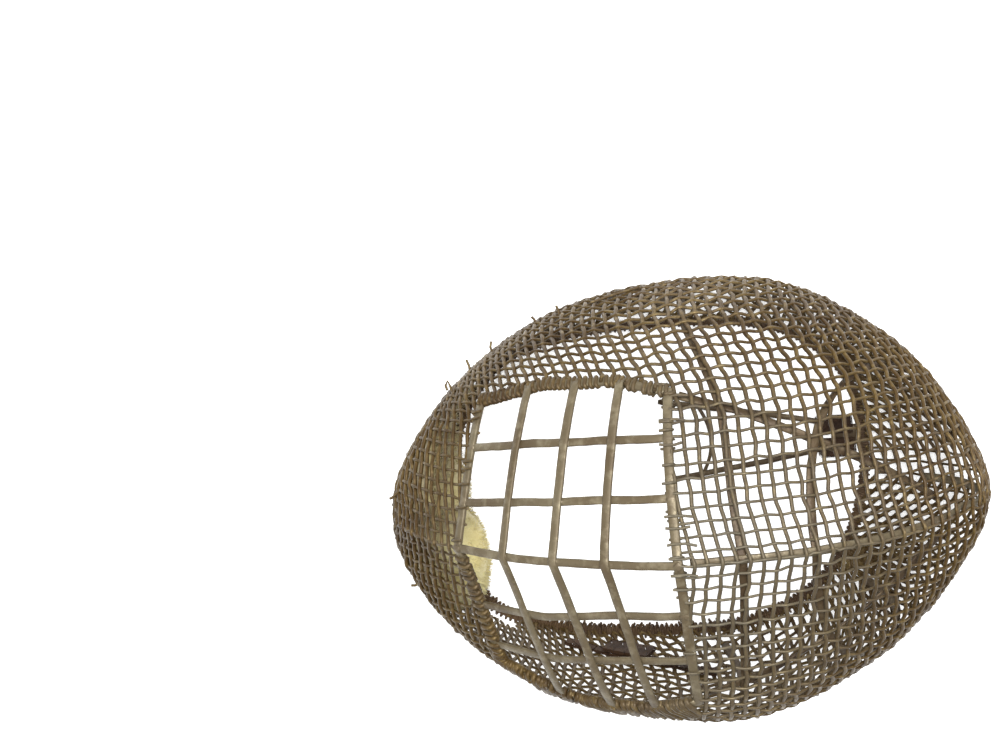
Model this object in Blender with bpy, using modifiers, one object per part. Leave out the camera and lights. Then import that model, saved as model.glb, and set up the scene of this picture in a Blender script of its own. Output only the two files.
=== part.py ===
"""Old woven-wire fencing mask with a barred visor, lying face up on its rear rim.

Metres, +Z up. X runs from the chin to the crown, +Y is the wearer's right,
and Z is the way that the face looks. The shapes are worked out round the
middle of the rear rim; then every piece moves by one step, so that the origin
lies under the middle of the mask, on the surface that the rim lies on.
"""
import math

import bmesh
import bpy
from mathutils import Matrix, Vector

# overall sizes
mask_length = 0.318
mask_width = 0.230
face_depth = 0.179
rim_length = 0.230
rim_width = 0.173
# the old shell is pushed out of square: its right side leans to the crown
side_lean = 0.14
# where the left cheek is dented its widest line moves up, and for each
# millimetre up this far in and this far to the crown
dent_press = 0.254
dent_drift = 0.220

# walls, strips and the clearance between pieces
net_wall = 0.0020
net_strand = 0.0050
clearance = 0.0003
# the shell's flat facets dip below its true curve by up to this much
facet_room = 0.0007
visor_clearance = 0.0011
# on a tight bend a strand grows no wider than these shares of u and w
widest_shift_u = 0.22
widest_shift_w = 0.035
# past the visor's corners its side strands run on beside its line this far
visor_side_run = 0.3
rim_strip_width = 0.0055
rim_strip_height = 0.0030
visor_frame_width = 0.0048
visor_frame_thickness = 0.0026
visor_bar_width = 0.0041
visor_bar_thickness = 0.0020
visor_half_width = 0.0840
rib_width = 0.0044
rib_thickness = 0.0016
side_rib_width = 0.0035
# room under the crease of the shell for the flat rib on the ridge
ridge_room = 0.0012

# spring tongue at the back of the head
tongue_side = 0.0205
tongue_spread = 0.0440
tongue_root_width = 0.0080
tongue_end_x = 0.0030
tongue_bar_width = 0.0030
tongue_thickness = 0.0022
tongue_knob_diameter = 0.0040
tongue_brace_x = 0.0240
tongue_brace_bow = 0.0060
tongue_brace_width = 0.0020
tongue_root_length = 0.0120

# leather and fleece
leather_wall = 0.0020
tab_length = 0.0200
tab_width = 0.0105
tab_spacing = 0.0230
band_width = 0.0060
patch_width = 0.0120
patch_room = 0.0003
cheek_band_start_u = 3.40
cheek_band_end_u = 6.15
cheek_band_start_w = 0.905
cheek_band_end_w = 0.845
cheek_patch_shift = -0.010
# the pad's face toward the chin of the wearer, its thin edge, how far it runs
# round the sides, and its top and foot as shares of a hoop
chin_pad_front_x = -0.0800
chin_pad_hollow = 0.0120
chin_pad_edge = 0.0030
chin_pad_reach = 1.75
chin_pad_top = 0.14
chin_pad_foot = 0.88

# full roundness of the sides between the ridge and the widest line,
# and of the tuck from there to the rim
ridge_reach = 0.50
flank_fullness = 0.72
tuck_start = 0.50
tuck_end = 0.55
widest_at = 0.75

# One row for each hoop line from the chin to the crown. keel is the ridge,
# wide is the widest line and rim is the rear edge. x is a share of
# mask_length (rim_x of rim_length), y of half the width, z of face_depth,
# and fall is the slope of the side at the ridge in degrees. dent is how far the
# widest line is pushed up on the left, a share of face_depth.
hoop_columns = ("keel_x", "keel_z", "fall", "wide_x", "wide_y", "wide_z", "rim_x", "rim_y", "dent")
hoop_rows = [
    (-0.396, 0.447, 72, -0.428, 0.000, 0.168, -0.513, 0.000, 0.00),
    (-0.362, 0.542, 50, -0.403, 0.287, 0.168, -0.491, 0.439, 0.05),
    (-0.302, 0.665, 34, -0.314, 0.609, 0.179, -0.409, 0.775, 0.13),
    (-0.228, 0.771, 24, -0.195, 0.843, 0.190, -0.287, 0.925, 0.20),
    (-0.110, 0.894, 20, -0.079, 0.948, 0.196, -0.157, 0.983, 0.26),
    (0.013, 0.961, 20, 0.031, 0.991, 0.207, -0.026, 1.000, 0.28),
    (0.138, 1.000, 20, 0.101, 1.000, 0.223, 0.078, 1.000, 0.27),
    (0.258, 0.955, 20, 0.195, 0.978, 0.240, 0.191, 0.977, 0.22),
    (0.362, 0.885, 22, 0.299, 0.870, 0.257, 0.306, 0.886, 0.14),
    (0.443, 0.779, 32, 0.425, 0.643, 0.291, 0.417, 0.655, 0.07),
    (0.503, 0.654, 46, 0.522, 0.330, 0.324, 0.472, 0.335, 0.02),
    (0.541, 0.525, 62, 0.572, 0.000, 0.346, 0.487, 0.000, 0.00),
]
last_hoop = len(hoop_rows) - 1

# hoop lines that bound the visor, and the visor bars between them
visor_chin_hoop = 2.78
visor_brow_hoop = 6.0
visor_cross_hoops = (3.62, 4.36, 5.06)
# how far the long bars lie from the ridge, as shares of the visor's half at even steps
# from the chin to the brow; below 0 is the left side
visor_long_rows = (
    (0.0, 0.0, 0.0, 0.0),
    (0.285, 0.305, 0.330, 0.370),
    (0.645, 0.630, 0.650, 0.710),
    (-0.420, -0.315, -0.288, -0.315),
    (-0.770, -0.580, -0.565, -0.620),
)
# shares of the visor's half width at even steps of its two sides, from the chin to the brow
visor_right_taper = (0.815, 0.95, 0.977, 0.93)
visor_left_taper = (0.84, 1.05, 1.04, 0.95)

# hoop places where the cross ribs pass the ridge and reach the rim, the share of a hoop
# that they run straight before they turn, and the shares over which they dip under the ridge's rib
cross_rib_columns = ("name", "keel_u", "right_rim_u", "left_rim_u", "straight")
cross_rib_rows = [
    ("brow_rib", 6.80, 4.80, 6.55, 0.28),
    ("crown_rib", 7.80, 9.20, 9.20, 0.0),
]
joggle_flat = 0.030
joggle_run = 0.060

# colour, roughness and metallic value of each finish
finishes = {
    "rusted_wire": ((0.19, 0.145, 0.085, 1.0), 0.62, 0.75),
    "bronzed_steel": ((0.26, 0.20, 0.125, 1.0), 0.50, 0.80),
    "dark_iron": ((0.10, 0.065, 0.035, 1.0), 0.66, 0.60),
    "old_leather": ((0.055, 0.030, 0.016, 1.0), 0.72, 0.0),
    "fleece": ((0.70, 0.56, 0.26, 1.0), 0.95, 0.0),
}


def clear_scene():
    for item in list(bpy.data.objects):
        bpy.data.objects.remove(item, do_unlink=True)


def make_collection(name):
    group = bpy.data.collections.new(name)
    bpy.context.scene.collection.children.link(group)
    return group


def make_finish(name):
    colour, roughness, metallic = finishes[name]
    finish = bpy.data.materials.new(name)
    finish.use_nodes = True
    shader = finish.node_tree.nodes["Principled BSDF"]
    shader.inputs["Base Color"].default_value = colour
    shader.inputs["Roughness"].default_value = roughness
    shader.inputs["Metallic"].default_value = metallic
    finish.diffuse_color = colour
    return finish


def add_object(name, mesh, group, finish=None):
    item = bpy.data.objects.new(name, mesh)
    group.objects.link(item)
    if finish is not None:
        mesh.materials.append(finish)
    return item


def hoop_sizes(row):
    """The lengths of one hoop row, in metres."""
    share = dict(zip(hoop_columns, row))
    return (
        share["keel_x"] * mask_length,
        share["keel_z"] * face_depth,
        share["fall"],
        share["wide_x"] * mask_length,
        share["wide_y"] * mask_width / 2,
        share["wide_z"] * face_depth,
        share["rim_x"] * rim_length,
        share["rim_y"] * rim_width / 2,
        share["dent"] * face_depth,
    )


def hoop_row(index):
    """A row by number. Past either end the ridge runs on, and the sides come
    back as the neighbour on the far side."""
    if index < 0 or index > last_hoop:
        end = 0 if index < 0 else last_hoop
        inner = 1 if index < 0 else last_hoop - 1
        row = list(hoop_sizes(hoop_rows[inner]))
        end_row = hoop_sizes(hoop_rows[end])
        for column in range(3):
            row[column] = 2 * end_row[column] - row[column]
        row[4] = -row[4]
        row[7] = -row[7]
        return row
    return list(hoop_sizes(hoop_rows[index]))


def hoop_at(u):
    """Smoothly blended hoop row at any place u between the chin and the crown."""
    u = min(max(u, 0.0), float(last_hoop))
    first = min(int(u), last_hoop - 1)
    t = u - first
    rows = [hoop_row(first + step) for step in (-1, 0, 1, 2)]
    blended = []
    for a, b, c, d in zip(*rows):
        even = 2 * b
        slope = c - a
        bend = 2 * a - 5 * b + 4 * c - d
        twist = 3 * b - a - 3 * c + d
        blended.append(0.5 * (even + slope * t + bend * t * t + twist * t ** 3))
    return blended


def bezier(points, t):
    a, b, c, d = points
    s = 1 - t
    return a * s ** 3 + b * (3 * s * s * t) + c * (3 * s * t * t) + d * t ** 3


def shell_point(u, w):
    """Outer face of the wire shell: u is the hoop, w runs from the ridge (0)
    over the widest line to the rim (1 or -1), positive on the right side."""
    side = -1.0 if w < 0 else 1.0
    share = min(abs(w), 1.0)
    keel_x, keel_z, fall, wide_x, wide_y, wide_z, rim_x, rim_y, dent = hoop_at(u)
    if side < 0:
        wide_x += dent * dent_drift
        wide_y -= dent * dent_press
        wide_z += dent
    keel = Vector((keel_x, 0, keel_z))
    wide = Vector((wide_x, wide_y, wide_z))
    rim = Vector((rim_x, rim_y, rim_strip_height + clearance))
    reach = math.hypot(wide_x - keel_x, wide_y) * ridge_reach
    if share <= widest_at:
        drop = math.tan(math.radians(fall)) * reach
        leave = keel + Vector(((wide_x - keel_x) * ridge_reach, wide_y * ridge_reach, -drop))
        arrive = wide + Vector((0, 0, flank_fullness * (keel_z - wide_z)))
        place = bezier((keel, leave, arrive, wide), share / widest_at)
    else:
        height = wide_z - rim.z
        leave = wide - Vector((0, 0, tuck_start * height))
        arrive = rim + Vector(((wide_x - rim_x) * tuck_end, (wide_y - rim_y) * tuck_end, 0.12 * height))
        place = bezier((wide, leave, arrive, rim), (share - widest_at) / (1 - widest_at))
    place.y *= side
    place.x += side_lean * place.y * (1 - place.z / face_depth)
    return place


def shell_slopes(u, w):
    """How far the surface moves for one step of u and of w."""
    step = 0.004
    u0 = max(u - step, 0.0)
    u1 = min(u + step, float(last_hoop))
    if abs(w) < step:
        w0, w1 = (0.0, step) if w >= 0 else (-step, 0.0)
    else:
        w0, w1 = max(w - step, -1.0), min(w + step, 1.0)
    along = (shell_point(u1, w) - shell_point(u0, w)) / (u1 - u0)
    across = (shell_point(u, w1) - shell_point(u, w0)) / (w1 - w0)
    return along, across


def shell_normal(u, w):
    """Outward direction of the shell."""
    inside = min(max(u, 0.03), last_hoop - 0.03)
    along, across = shell_slopes(inside, w)
    normal = along.cross(across)
    normal.normalize()
    on_middle = abs(w) < 1e-6 or u < 1e-6 or u > last_hoop - 1e-6
    if on_middle:
        normal.y = 0.0
        normal.normalize()
    return normal


def layer_point(u, w, depth):
    """A place that lies depth below the outer face of the shell."""
    return shell_point(u, w) - shell_normal(u, w) * depth


def along_visor(values, u):
    """A value given at even steps from the visor's chin edge to its brow edge."""
    place = (u - visor_chin_hoop) / (visor_brow_hoop - visor_chin_hoop)
    place = min(max(place, 0.0), 1.0) * (len(values) - 1)
    low = min(int(place), len(values) - 2)
    return values[low] + (values[low + 1] - values[low]) * (place - low)


def visor_edge(u, side=1):
    """The share w at which a hoop passes the side of the visor, on the right or the left."""
    target = visor_half_width * along_visor(visor_right_taper if side > 0 else visor_left_taper, u)
    near, far = 0.0, widest_at
    for _ in range(30):
        middle = (near + far) / 2
        if abs(shell_point(u, side * middle).y) < target:
            near = middle
        else:
            far = middle
    return (near + far) / 2


def thick_mesh(name, outer, inner, faces):
    """Closed body between two faces of the same layout."""
    body = bmesh.new()
    top = [body.verts.new(p) for p in outer]
    low = [body.verts.new(p) for p in inner]
    one_way = set()
    for face in faces:
        for a, b in zip(face, face[1:] + face[:1]):
            one_way.add((a, b))
    for face in faces:
        body.faces.new([top[i] for i in face])
        body.faces.new([low[i] for i in reversed(face)])
    for a, b in sorted(one_way):
        if (b, a) not in one_way:
            body.faces.new((top[b], top[a], low[a], low[b]))
    bmesh.ops.triangulate(body, faces=body.faces)
    bmesh.ops.recalc_face_normals(body, faces=body.faces)
    mesh = bpy.data.meshes.new(name)
    body.to_mesh(mesh)
    body.free()
    return mesh


class PointPool:
    """Points of the shell's two faces, shared where faces meet."""

    def __init__(self, wall):
        self.wall = wall
        self.places = {}
        self.outer = []
        self.inner = []

    def index(self, u, w):
        place = shell_point(u, w)
        key = tuple(round(c * 1e6) for c in place)
        if key not in self.places:
            self.places[key] = len(self.outer)
            self.outer.append(place)
            if abs(w) > 1 - 1e-9:
                inward = Vector((-place.x, -place.y, 0)).normalized()
                self.inner.append(place + inward * self.wall)
            else:
                self.inner.append(place - shell_normal(u, w) * self.wall)
        return self.places[key]

    def face(self, corners):
        ring = []
        for u, w in corners:
            i = self.index(u, w)
            if i not in ring:
                ring.append(i)
        return ring if len(ring) > 2 else None


def net_hoops():
    """Hoop lines of the net: three bays at the chin, four beside the visor, five at the crown."""
    chin = [visor_chin_hoop * k / 3 for k in range(3)]
    visor = [visor_chin_hoop + (visor_brow_hoop - visor_chin_hoop) * k / 4 for k in range(4)]
    crown = [visor_brow_hoop + (last_hoop - visor_brow_hoop) * k / 5 for k in range(6)]
    return chin + visor + crown


def net_shares(u, side):
    """Ridge-to-rim lines of the net on one hoop: three bays to the visor's side, three below it."""
    edge = visor_edge(min(max(u, visor_chin_hoop), visor_brow_hoop), side)
    upper = [edge * k / 3 for k in range(3)]
    lower = [edge + (1 - edge) * share for share in (0.0, 0.30, 0.64, 1.0)]
    return upper + lower


def in_visor(u_middle, row):
    return visor_chin_hoop < u_middle < visor_brow_hoop and row < 3


class ShellNet:
    """Strands of the coarse net. k numbers the hoop strands from the chin, r the
    long strands from the ridge, and side is 1 on the right and -1 on the left."""

    def __init__(self):
        self.hoops = net_hoops()
        self.columns = len(self.hoops)
        self.rows = len(net_shares(0.0, 1))
        self.half = net_strand / 2
        self.frame_room = visor_frame_width / 2 + facet_room + visor_clearance

    def line_w(self, k, r, side):
        return side * net_shares(self.hoops[k], side)[r]

    def edge_u(self, k, w, way):
        """Edge of the hoop strand k, toward the crown (way 1) or the chin (-1)."""
        u = self.hoops[k]
        along = shell_slopes(min(max(u, 0.05), last_hoop - 0.05), w)[0].length
        if (k == 0 and way < 0) or (k == self.columns - 1 and way > 0):
            return u
        beside_visor = abs(w) < net_shares(u, -1 if w < 0 else 1)[3] + 0.02
        for visor_hoop, outward in ((visor_chin_hoop, -1), (visor_brow_hoop, 1)):
            if beside_visor and abs(u - visor_hoop) < 1e-6:
                room = self.frame_room + (net_strand if way == outward else 0.0)
                return u + outward * room / along
        return u + way * min(self.half / along, widest_shift_u)

    def edge_w(self, u, r, way, side):
        """Edge of the long strand r, toward the rim (way 1) or the ridge (-1)."""
        w = net_shares(u, side)[r]
        across = shell_slopes(u, side * max(w, 0.01))[1].length
        shift = min(self.half / across, widest_shift_w)
        if r == 0:
            return 0.0 if way < 0 else side * shift
        if r == self.rows - 1:
            return side * (1.0 if way > 0 else 1.0 - min(net_strand / across, 2 * widest_shift_w))
        if r == 3 and visor_chin_hoop - visor_side_run < u < visor_brow_hoop + visor_side_run:
            return side * (w + (self.frame_room if way < 0 else self.frame_room + net_strand) / across)
        return side * (w + way * shift)

    def joint(self, k, r, side, fu, fw):
        """A place on the crossing of two strands."""
        here = self.line_w(k, r, side)
        u = self.edge_u(k, here, -1) * (1 - fu) + self.edge_u(k, here, 1) * fu
        low = self.edge_w(self.hoops[k], r, -1, side)
        high = self.edge_w(self.hoops[k], r, 1, side)
        return u, low * (1 - fw) + high * fw

    def long_strand(self, k, r, side, fu, fw):
        """A place on a long strand between two hoops."""
        u0 = self.edge_u(k, self.line_w(k, r, side), 1)
        u1 = self.edge_u(k + 1, self.line_w(k + 1, r, side), -1)
        u = u0 + (u1 - u0) * fu
        at = {0: self.hoops[k], 1: self.hoops[k + 1]}.get(fu, u)
        low = self.edge_w(at, r, -1, side)
        high = self.edge_w(at, r, 1, side)
        return u, low + (high - low) * fw

    def hoop_strand(self, k, r, side, fu, fw):
        """A place on a hoop strand between two long strands."""
        w0 = self.edge_w(self.hoops[k], r, 1, side)
        w1 = self.edge_w(self.hoops[k], r + 1, -1, side)
        w = w0 + (w1 - w0) * fw
        at = {0: self.line_w(k, r, side), 1: self.line_w(k, r + 1, side)}.get(fw, w)
        u = self.edge_u(k, at, -1) * (1 - fu) + self.edge_u(k, at, 1) * fu
        return u, w


def wire_shell_mesh():
    """The woven shell as a coarse net of strands, cut through in 120 gaps."""
    net = ShellNet()
    pool = PointPool(net_wall)
    faces = []

    def patch(place_of, k, r, side, pieces_u, pieces_w):
        for a in range(pieces_u):
            for b in range(pieces_w):
                corners = [place_of(k, r, side, (a + da) / pieces_u, (b + db) / pieces_w)
                           for da, db in ((0, 0), (1, 0), (1, 1), (0, 1))]
                face = pool.face(corners)
                if face:
                    faces.append(face)

    for side in (1, -1):
        for k in range(net.columns):
            for r in range(net.rows):
                if hoop_is_outside(net.hoops[k], r):
                    patch(net.joint, k, r, side, 1, 1)
                if k + 1 < net.columns and not in_visor((net.hoops[k] + net.hoops[k + 1]) / 2, r):
                    patch(net.long_strand, k, r, side, 2, 1)
                if r + 1 < net.rows and hoop_is_outside(net.hoops[k], r + 0.5):
                    patch(net.hoop_strand, k, r, side, 1, 3 if r >= 3 else 2)
    ordered = [face if wound_outward(face, pool) else face[::-1] for face in faces]
    return thick_mesh("wire_shell", pool.outer, pool.inner, ordered)


def wound_outward(face, pool):
    corners = [pool.outer[i] for i in face]
    normal = Vector((0, 0, 0))
    for a, b in zip(corners, corners[1:] + corners[:1]):
        normal += (a - corners[0]).cross(b - corners[0])
    outward = Vector((0, 0, 0))
    for i in face:
        outward += pool.outer[i] - pool.inner[i]
    return normal.dot(outward) > 0


def hoop_is_outside(u, row):
    """False where a hoop strand would lie inside the visor."""
    return row >= 3 or not visor_chin_hoop + 0.01 < u < visor_brow_hoop - 0.01


def ribbon(name, path, width, depth, group, finish, thickness):
    """Flat strip along a path of (u, w) places. depth, below the shell's outer
    face, is one number or one for each place."""
    depths = depth if isinstance(depth, list) else [depth] * len(path)
    places = [layer_point(u, w, d) for (u, w), d in zip(path, depths)]
    normals = [shell_normal(u, w) for u, w in path]
    body = bmesh.new()
    edges = []
    for i, place in enumerate(places):
        ahead = places[min(i + 1, len(places) - 1)] - places[max(i - 1, 0)]
        sideways = normals[i].cross(ahead).normalized() * width / 2
        edges.append((body.verts.new(place - sideways), body.verts.new(place + sideways)))
    for (a, b), (c, d) in zip(edges, edges[1:]):
        body.faces.new((a, c, d, b))
    mesh = bpy.data.meshes.new(name)
    body.to_mesh(mesh)
    body.free()
    item = add_object(name, mesh, group, finish)
    wall = item.modifiers.new("wall", "SOLIDIFY")
    wall.thickness = thickness
    wall.offset = -1.0
    wall.use_even_offset = True
    return item


def line(start, end, steps):
    (u0, w0), (u1, w1) = start, end
    return [(u0 + (u1 - u0) * k / steps, w0 + (w1 - w0) * k / steps) for k in range(steps + 1)]


def visor_hoop_line(u, steps=5):
    """Across the visor, from its left side over the ridge to its right side."""
    left = line((u, -visor_edge(u, -1)), (u, -0.0), steps)[:-1]
    return left + line((u, 0.0), (u, visor_edge(u)), steps)


def build_visor(parts, cutters, finish):
    """Frame and bars, soldered where they cross: one solid."""
    steps = 14
    hoops = [visor_chin_hoop + (visor_brow_hoop - visor_chin_hoop) * k / steps for k in range(steps + 1)]
    right = [(u, visor_edge(u)) for u in hoops]
    left = [(u, -visor_edge(u, -1)) for u in reversed(hoops)]
    chin = visor_hoop_line(visor_chin_hoop)[1:-1]
    brow = visor_hoop_line(visor_brow_hoop)[::-1][1:-1]
    frame = ring_strip("visor_grille", chin + right + brow + left, visor_frame_width,
                       visor_frame_thickness, parts, finish)
    bars = []
    for number, u in enumerate(visor_cross_hoops):
        bars.append(ribbon(f"cross_bar_{number + 1}", visor_hoop_line(u), visor_bar_width,
                           -0.0009, cutters, finish, visor_bar_thickness))
    count = 0
    for row in visor_long_rows:
        count += 1
        side = -1 if row[0] < 0 else 1
        path = [(u, along_visor(row, u) * visor_edge(u, side)) for u in hoops]
        bars.append(ribbon(f"long_bar_{count}", path, visor_bar_width, 0.0006, cutters, finish,
                           visor_bar_thickness))
    for bar in bars:
        bar.hide_render = True
        bar.display_type = "WIRE"
        union = frame.modifiers.new(bar.name, "BOOLEAN")
        union.operation = "UNION"
        union.solver = "EXACT"
        union.object = bar
    return frame


def ring_strip(name, path, width, thickness, group, finish):
    """Closed flat strip along a loop of (u, w) places, its top face flush with the shell."""
    places = [shell_point(u, w) for u, w in path]
    normals = [shell_normal(u, w) for u, w in path]
    count = len(places)
    body = bmesh.new()
    edges = []
    for i, place in enumerate(places):
        before = (place - places[i - 1]).normalized()
        after = (places[(i + 1) % count] - place).normalized()
        ahead = (before + after).normalized()
        sideways = normals[i].cross(ahead).normalized()
        mitre = max(ahead.dot(after), 0.5)
        sideways *= width / 2 / mitre
        edges.append((body.verts.new(place - sideways), body.verts.new(place + sideways)))
    for i in range(count):
        a, b = edges[i]
        c, d = edges[(i + 1) % count]
        body.faces.new((a, c, d, b))
    bmesh.ops.recalc_face_normals(body, faces=body.faces)
    body.normal_update()
    if sum(face.normal.z for face in body.faces) < 0:
        bmesh.ops.reverse_faces(body, faces=body.faces)
    mesh = bpy.data.meshes.new(name)
    body.to_mesh(mesh)
    body.free()
    item = add_object(name, mesh, group, finish)
    wall = item.modifiers.new("wall", "SOLIDIFY")
    wall.thickness = thickness
    wall.offset = -1.0
    wall.use_even_offset = True
    return item


def rim_places(steps):
    """Middle line of the rear rim, all the way round."""
    places = []
    for side in (1, -1):
        for k in range(steps):
            share = k / steps if side > 0 else 1 - k / steps
            end = shell_point(share * last_hoop, side * 1.0)
            inward = Vector((-end.x, -end.y, 0)).normalized() * net_wall / 2
            places.append(Vector((end.x + inward.x, end.y + inward.y, 0)))
    return places


def build_rear_rim(group, finish):
    """Flat iron hoop that the shell's wires are wound on."""
    places = rim_places(30)
    count = len(places)
    body = bmesh.new()
    edges = []
    for i, place in enumerate(places):
        ahead = (places[(i + 1) % count] - places[i - 1]).normalized()
        sideways = Vector((ahead.y, -ahead.x, 0)) * rim_strip_width / 2
        edges.append((body.verts.new(place - sideways), body.verts.new(place + sideways)))
    for i in range(count):
        a, b = edges[i]
        c, d = edges[(i + 1) % count]
        body.faces.new((a, b, d, c))
    bmesh.ops.recalc_face_normals(body, faces=body.faces)
    body.normal_update()
    if body.faces[:][0].normal.z > 0:
        bmesh.ops.reverse_faces(body, faces=body.faces)
    mesh = bpy.data.meshes.new("rear_rim")
    body.to_mesh(mesh)
    body.free()
    item = add_object("rear_rim", mesh, group, finish)
    wall = item.modifiers.new("wall", "SOLIDIFY")
    wall.thickness = rim_strip_height
    wall.offset = -1.0
    return item


def rib_end(u):
    """The share w at which a rib stops above the rear rim."""
    across = shell_slopes(u, 0.98)[1].length
    return 1 - (3 * net_wall) / across


def joggled(path, level, dipped):
    """Depths of a cross rib that dips to pass under the rib on the ridge."""
    depths = []
    for _, w in path:
        near = max(0.0, 1 - max(abs(w) - joggle_flat, 0.0) / joggle_run)
        depths.append(level + (dipped - level) * near)
    return depths


def eased(share):
    """0 before the start, 1 after the end and a soft turn between."""
    share = min(max(share, 0.0), 1.0)
    return share * share * (3 - 2 * share)


def cross_rib_half(keel_u, rim_u, straight, side):
    """One side of a cross rib, from the ridge down to just above the rim."""
    end = rib_end(rim_u)
    first = joggle_flat + joggle_run
    shares = [0.0, joggle_flat, first] + [first + (end - first) * k / 8 for k in range(1, 9)]
    run = rim_u - keel_u
    return [(keel_u + run * eased((w - straight) / (end - straight)), side * w) for w in shares]


def build_ribs(group, finish):
    """Flat strips under the wires: along the ridge, over the brow and crown, and down each side."""
    level = net_wall + facet_room + clearance
    ridge_level = level + ridge_room
    dipped = ridge_level + rib_thickness + 2 * clearance
    side_level = level + rib_thickness + facet_room / 2 + 2 * clearance
    first = visor_brow_hoop + 0.14
    ridge = line((first, 0.0), (last_hoop, 0.0), 14)
    back = [(last_hoop, share) for share in (0.15, 0.3, 0.45, 0.6, 0.7, 0.78, 0.86, rib_end(last_hoop))]
    ribbon("centre_rib", ridge + back, rib_width, ridge_level, group, finish, rib_thickness)

    for row in cross_rib_rows:
        rib = dict(zip(cross_rib_columns, row))
        left = cross_rib_half(rib["keel_u"], rib["left_rim_u"], rib["straight"], -1)
        right = cross_rib_half(rib["keel_u"], rib["right_rim_u"], rib["straight"], 1)
        path = left[:0:-1] + right
        ribbon(rib["name"], path, rib_width, joggled(path, level, dipped), group, finish, rib_thickness)

    end_u = last_hoop - 0.9
    end_w = 0.17
    for side, name in ((1, "side_rib_right"), (-1, "side_rib_left")):
        start_w = visor_edge(visor_brow_hoop, side)
        path = [(first + (end_u - first) * k / 10, side * (start_w + (end_w - start_w) * k / 10))
                for k in range(11)]
        ribbon(name, path, side_rib_width, side_level, group, finish, rib_thickness)


def flat_strip(name, places, width, low, high, group, finish):
    """Level strip through points of the rim's plane."""
    body = bmesh.new()
    edges = []
    for i, place in enumerate(places):
        ahead = (places[min(i + 1, len(places) - 1)] - places[max(i - 1, 0)]).normalized()
        sideways = Vector((-ahead.y, ahead.x, 0)) * width / 2
        raised = Vector((place.x, place.y, high))
        edges.append((body.verts.new(raised - sideways), body.verts.new(raised + sideways)))
    for (a, b), (c, d) in zip(edges, edges[1:]):
        body.faces.new((a, c, d, b))
    mesh = bpy.data.meshes.new(name)
    body.to_mesh(mesh)
    body.free()
    item = add_object(name, mesh, group, finish)
    wall = item.modifiers.new("wall", "SOLIDIFY")
    wall.thickness = high - low
    wall.offset = -1.0
    return item


def rim_crown_x(y):
    """Where the inner edge of the rear rim passes the given side place at the crown."""
    places = rim_places(60)
    crown = [p for p in places if p.x > 0]
    crown.sort(key=lambda p: p.y)
    for a, b in zip(crown, crown[1:]):
        if a.y <= y <= b.y:
            share = (y - a.y) / max(b.y - a.y, 1e-9)
            return a.x + (b.x - a.x) * share - rim_strip_width / 2 * 1.06
    return crown[-1].x


def build_tongue(parts, cutters, finish):
    """Spring fork that held the mask to the back of the head: one soldered solid."""
    low = (rim_strip_height - tongue_thickness) / 2
    high = low + tongue_thickness
    root_x = rim_crown_x(tongue_side) - clearance
    root = flat_strip("spring_tongue", [Vector((root_x - tongue_root_length, tongue_side, 0)),
                                        Vector((root_x - 0.0006, tongue_side, 0))],
                      tongue_root_width + tongue_bar_width, low, high, parts, finish)
    pieces = []
    for side in (1, -1):
        steps = 10
        prong = []
        for k in range(steps + 1):
            share = k / steps
            x = root_x - tongue_root_length * 0.5 + (tongue_end_x - root_x + tongue_root_length * 0.5) * share
            spread = tongue_root_width / 2 + (tongue_spread - tongue_root_width) / 2 * share ** 0.85
            prong.append(Vector((x, tongue_side + side * spread, 0)))
        pieces.append(flat_strip(f"prong_{'right' if side > 0 else 'left'}", prong, tongue_bar_width,
                                 low + 0.0001, high + 0.0001, cutters, finish))
        knob = round_block(f"knob_{'right' if side > 0 else 'left'}", prong[-1], tongue_knob_diameter / 2,
                           low - 0.0003, high + 0.0004, cutters, finish)
        pieces.append(knob)
    share = (tongue_brace_x - root_x) / (tongue_end_x - root_x)
    reach = tongue_root_width / 2 + (tongue_spread - tongue_root_width) / 2 * share ** 0.85
    brace = []
    for k in range(13):
        turn = -1 + 2 * k / 12
        brace.append(Vector((tongue_brace_x + tongue_brace_bow * (1 - turn * turn),
                             tongue_side + reach * turn, 0)))
    pieces.append(flat_strip("brace", brace, tongue_brace_width, low + 0.0003, high - 0.0003, cutters, finish))
    for piece in pieces:
        piece.hide_render = True
        piece.display_type = "WIRE"
        union = root.modifiers.new(piece.name, "BOOLEAN")
        union.operation = "UNION"
        union.solver = "EXACT"
        union.object = piece
    return root


def round_block(name, centre, radius, low, high, group, finish):
    body = bmesh.new()
    bmesh.ops.create_cone(body, cap_ends=True, segments=14, radius1=radius, radius2=radius, depth=high - low)
    bmesh.ops.translate(body, verts=body.verts, vec=(centre.x, centre.y, (low + high) / 2))
    mesh = bpy.data.meshes.new(name)
    body.to_mesh(mesh)
    body.free()
    return add_object(name, mesh, group, finish)


def build_tabs(group, finish):
    """Two leather tabs left on the root of the tongue."""
    seat = (rim_strip_height + tongue_thickness) / 2 + clearance + 0.0001
    for side, name in ((1, "leather_tab_right"), (-1, "leather_tab_left")):
        middle = tongue_side + side * (tab_spacing - tab_width) / 2
        edge_x = min(rim_crown_x(middle - tab_width / 2), rim_crown_x(middle + tab_width / 2))
        body = bmesh.new()
        bmesh.ops.create_cube(body, size=1.0)
        bmesh.ops.scale(body, verts=body.verts, vec=(tab_length, tab_width, leather_wall))
        bmesh.ops.translate(body, verts=body.verts,
                            vec=(edge_x - clearance - 0.0008 - tab_length / 2, middle, seat + leather_wall / 2))
        mesh = bpy.data.meshes.new(name)
        body.to_mesh(mesh)
        body.free()
        item = add_object(name, mesh, group, finish)
        soft = item.modifiers.new("soft_edges", "BEVEL")
        soft.width = leather_wall * 0.35
        soft.segments = 2


def cheek_band_share(u):
    """How far down the left side the band lies at a hoop."""
    place = (u - cheek_band_start_u) / (cheek_band_end_u - cheek_band_start_u)
    return cheek_band_start_w + (cheek_band_end_w - cheek_band_start_w) * place


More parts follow.
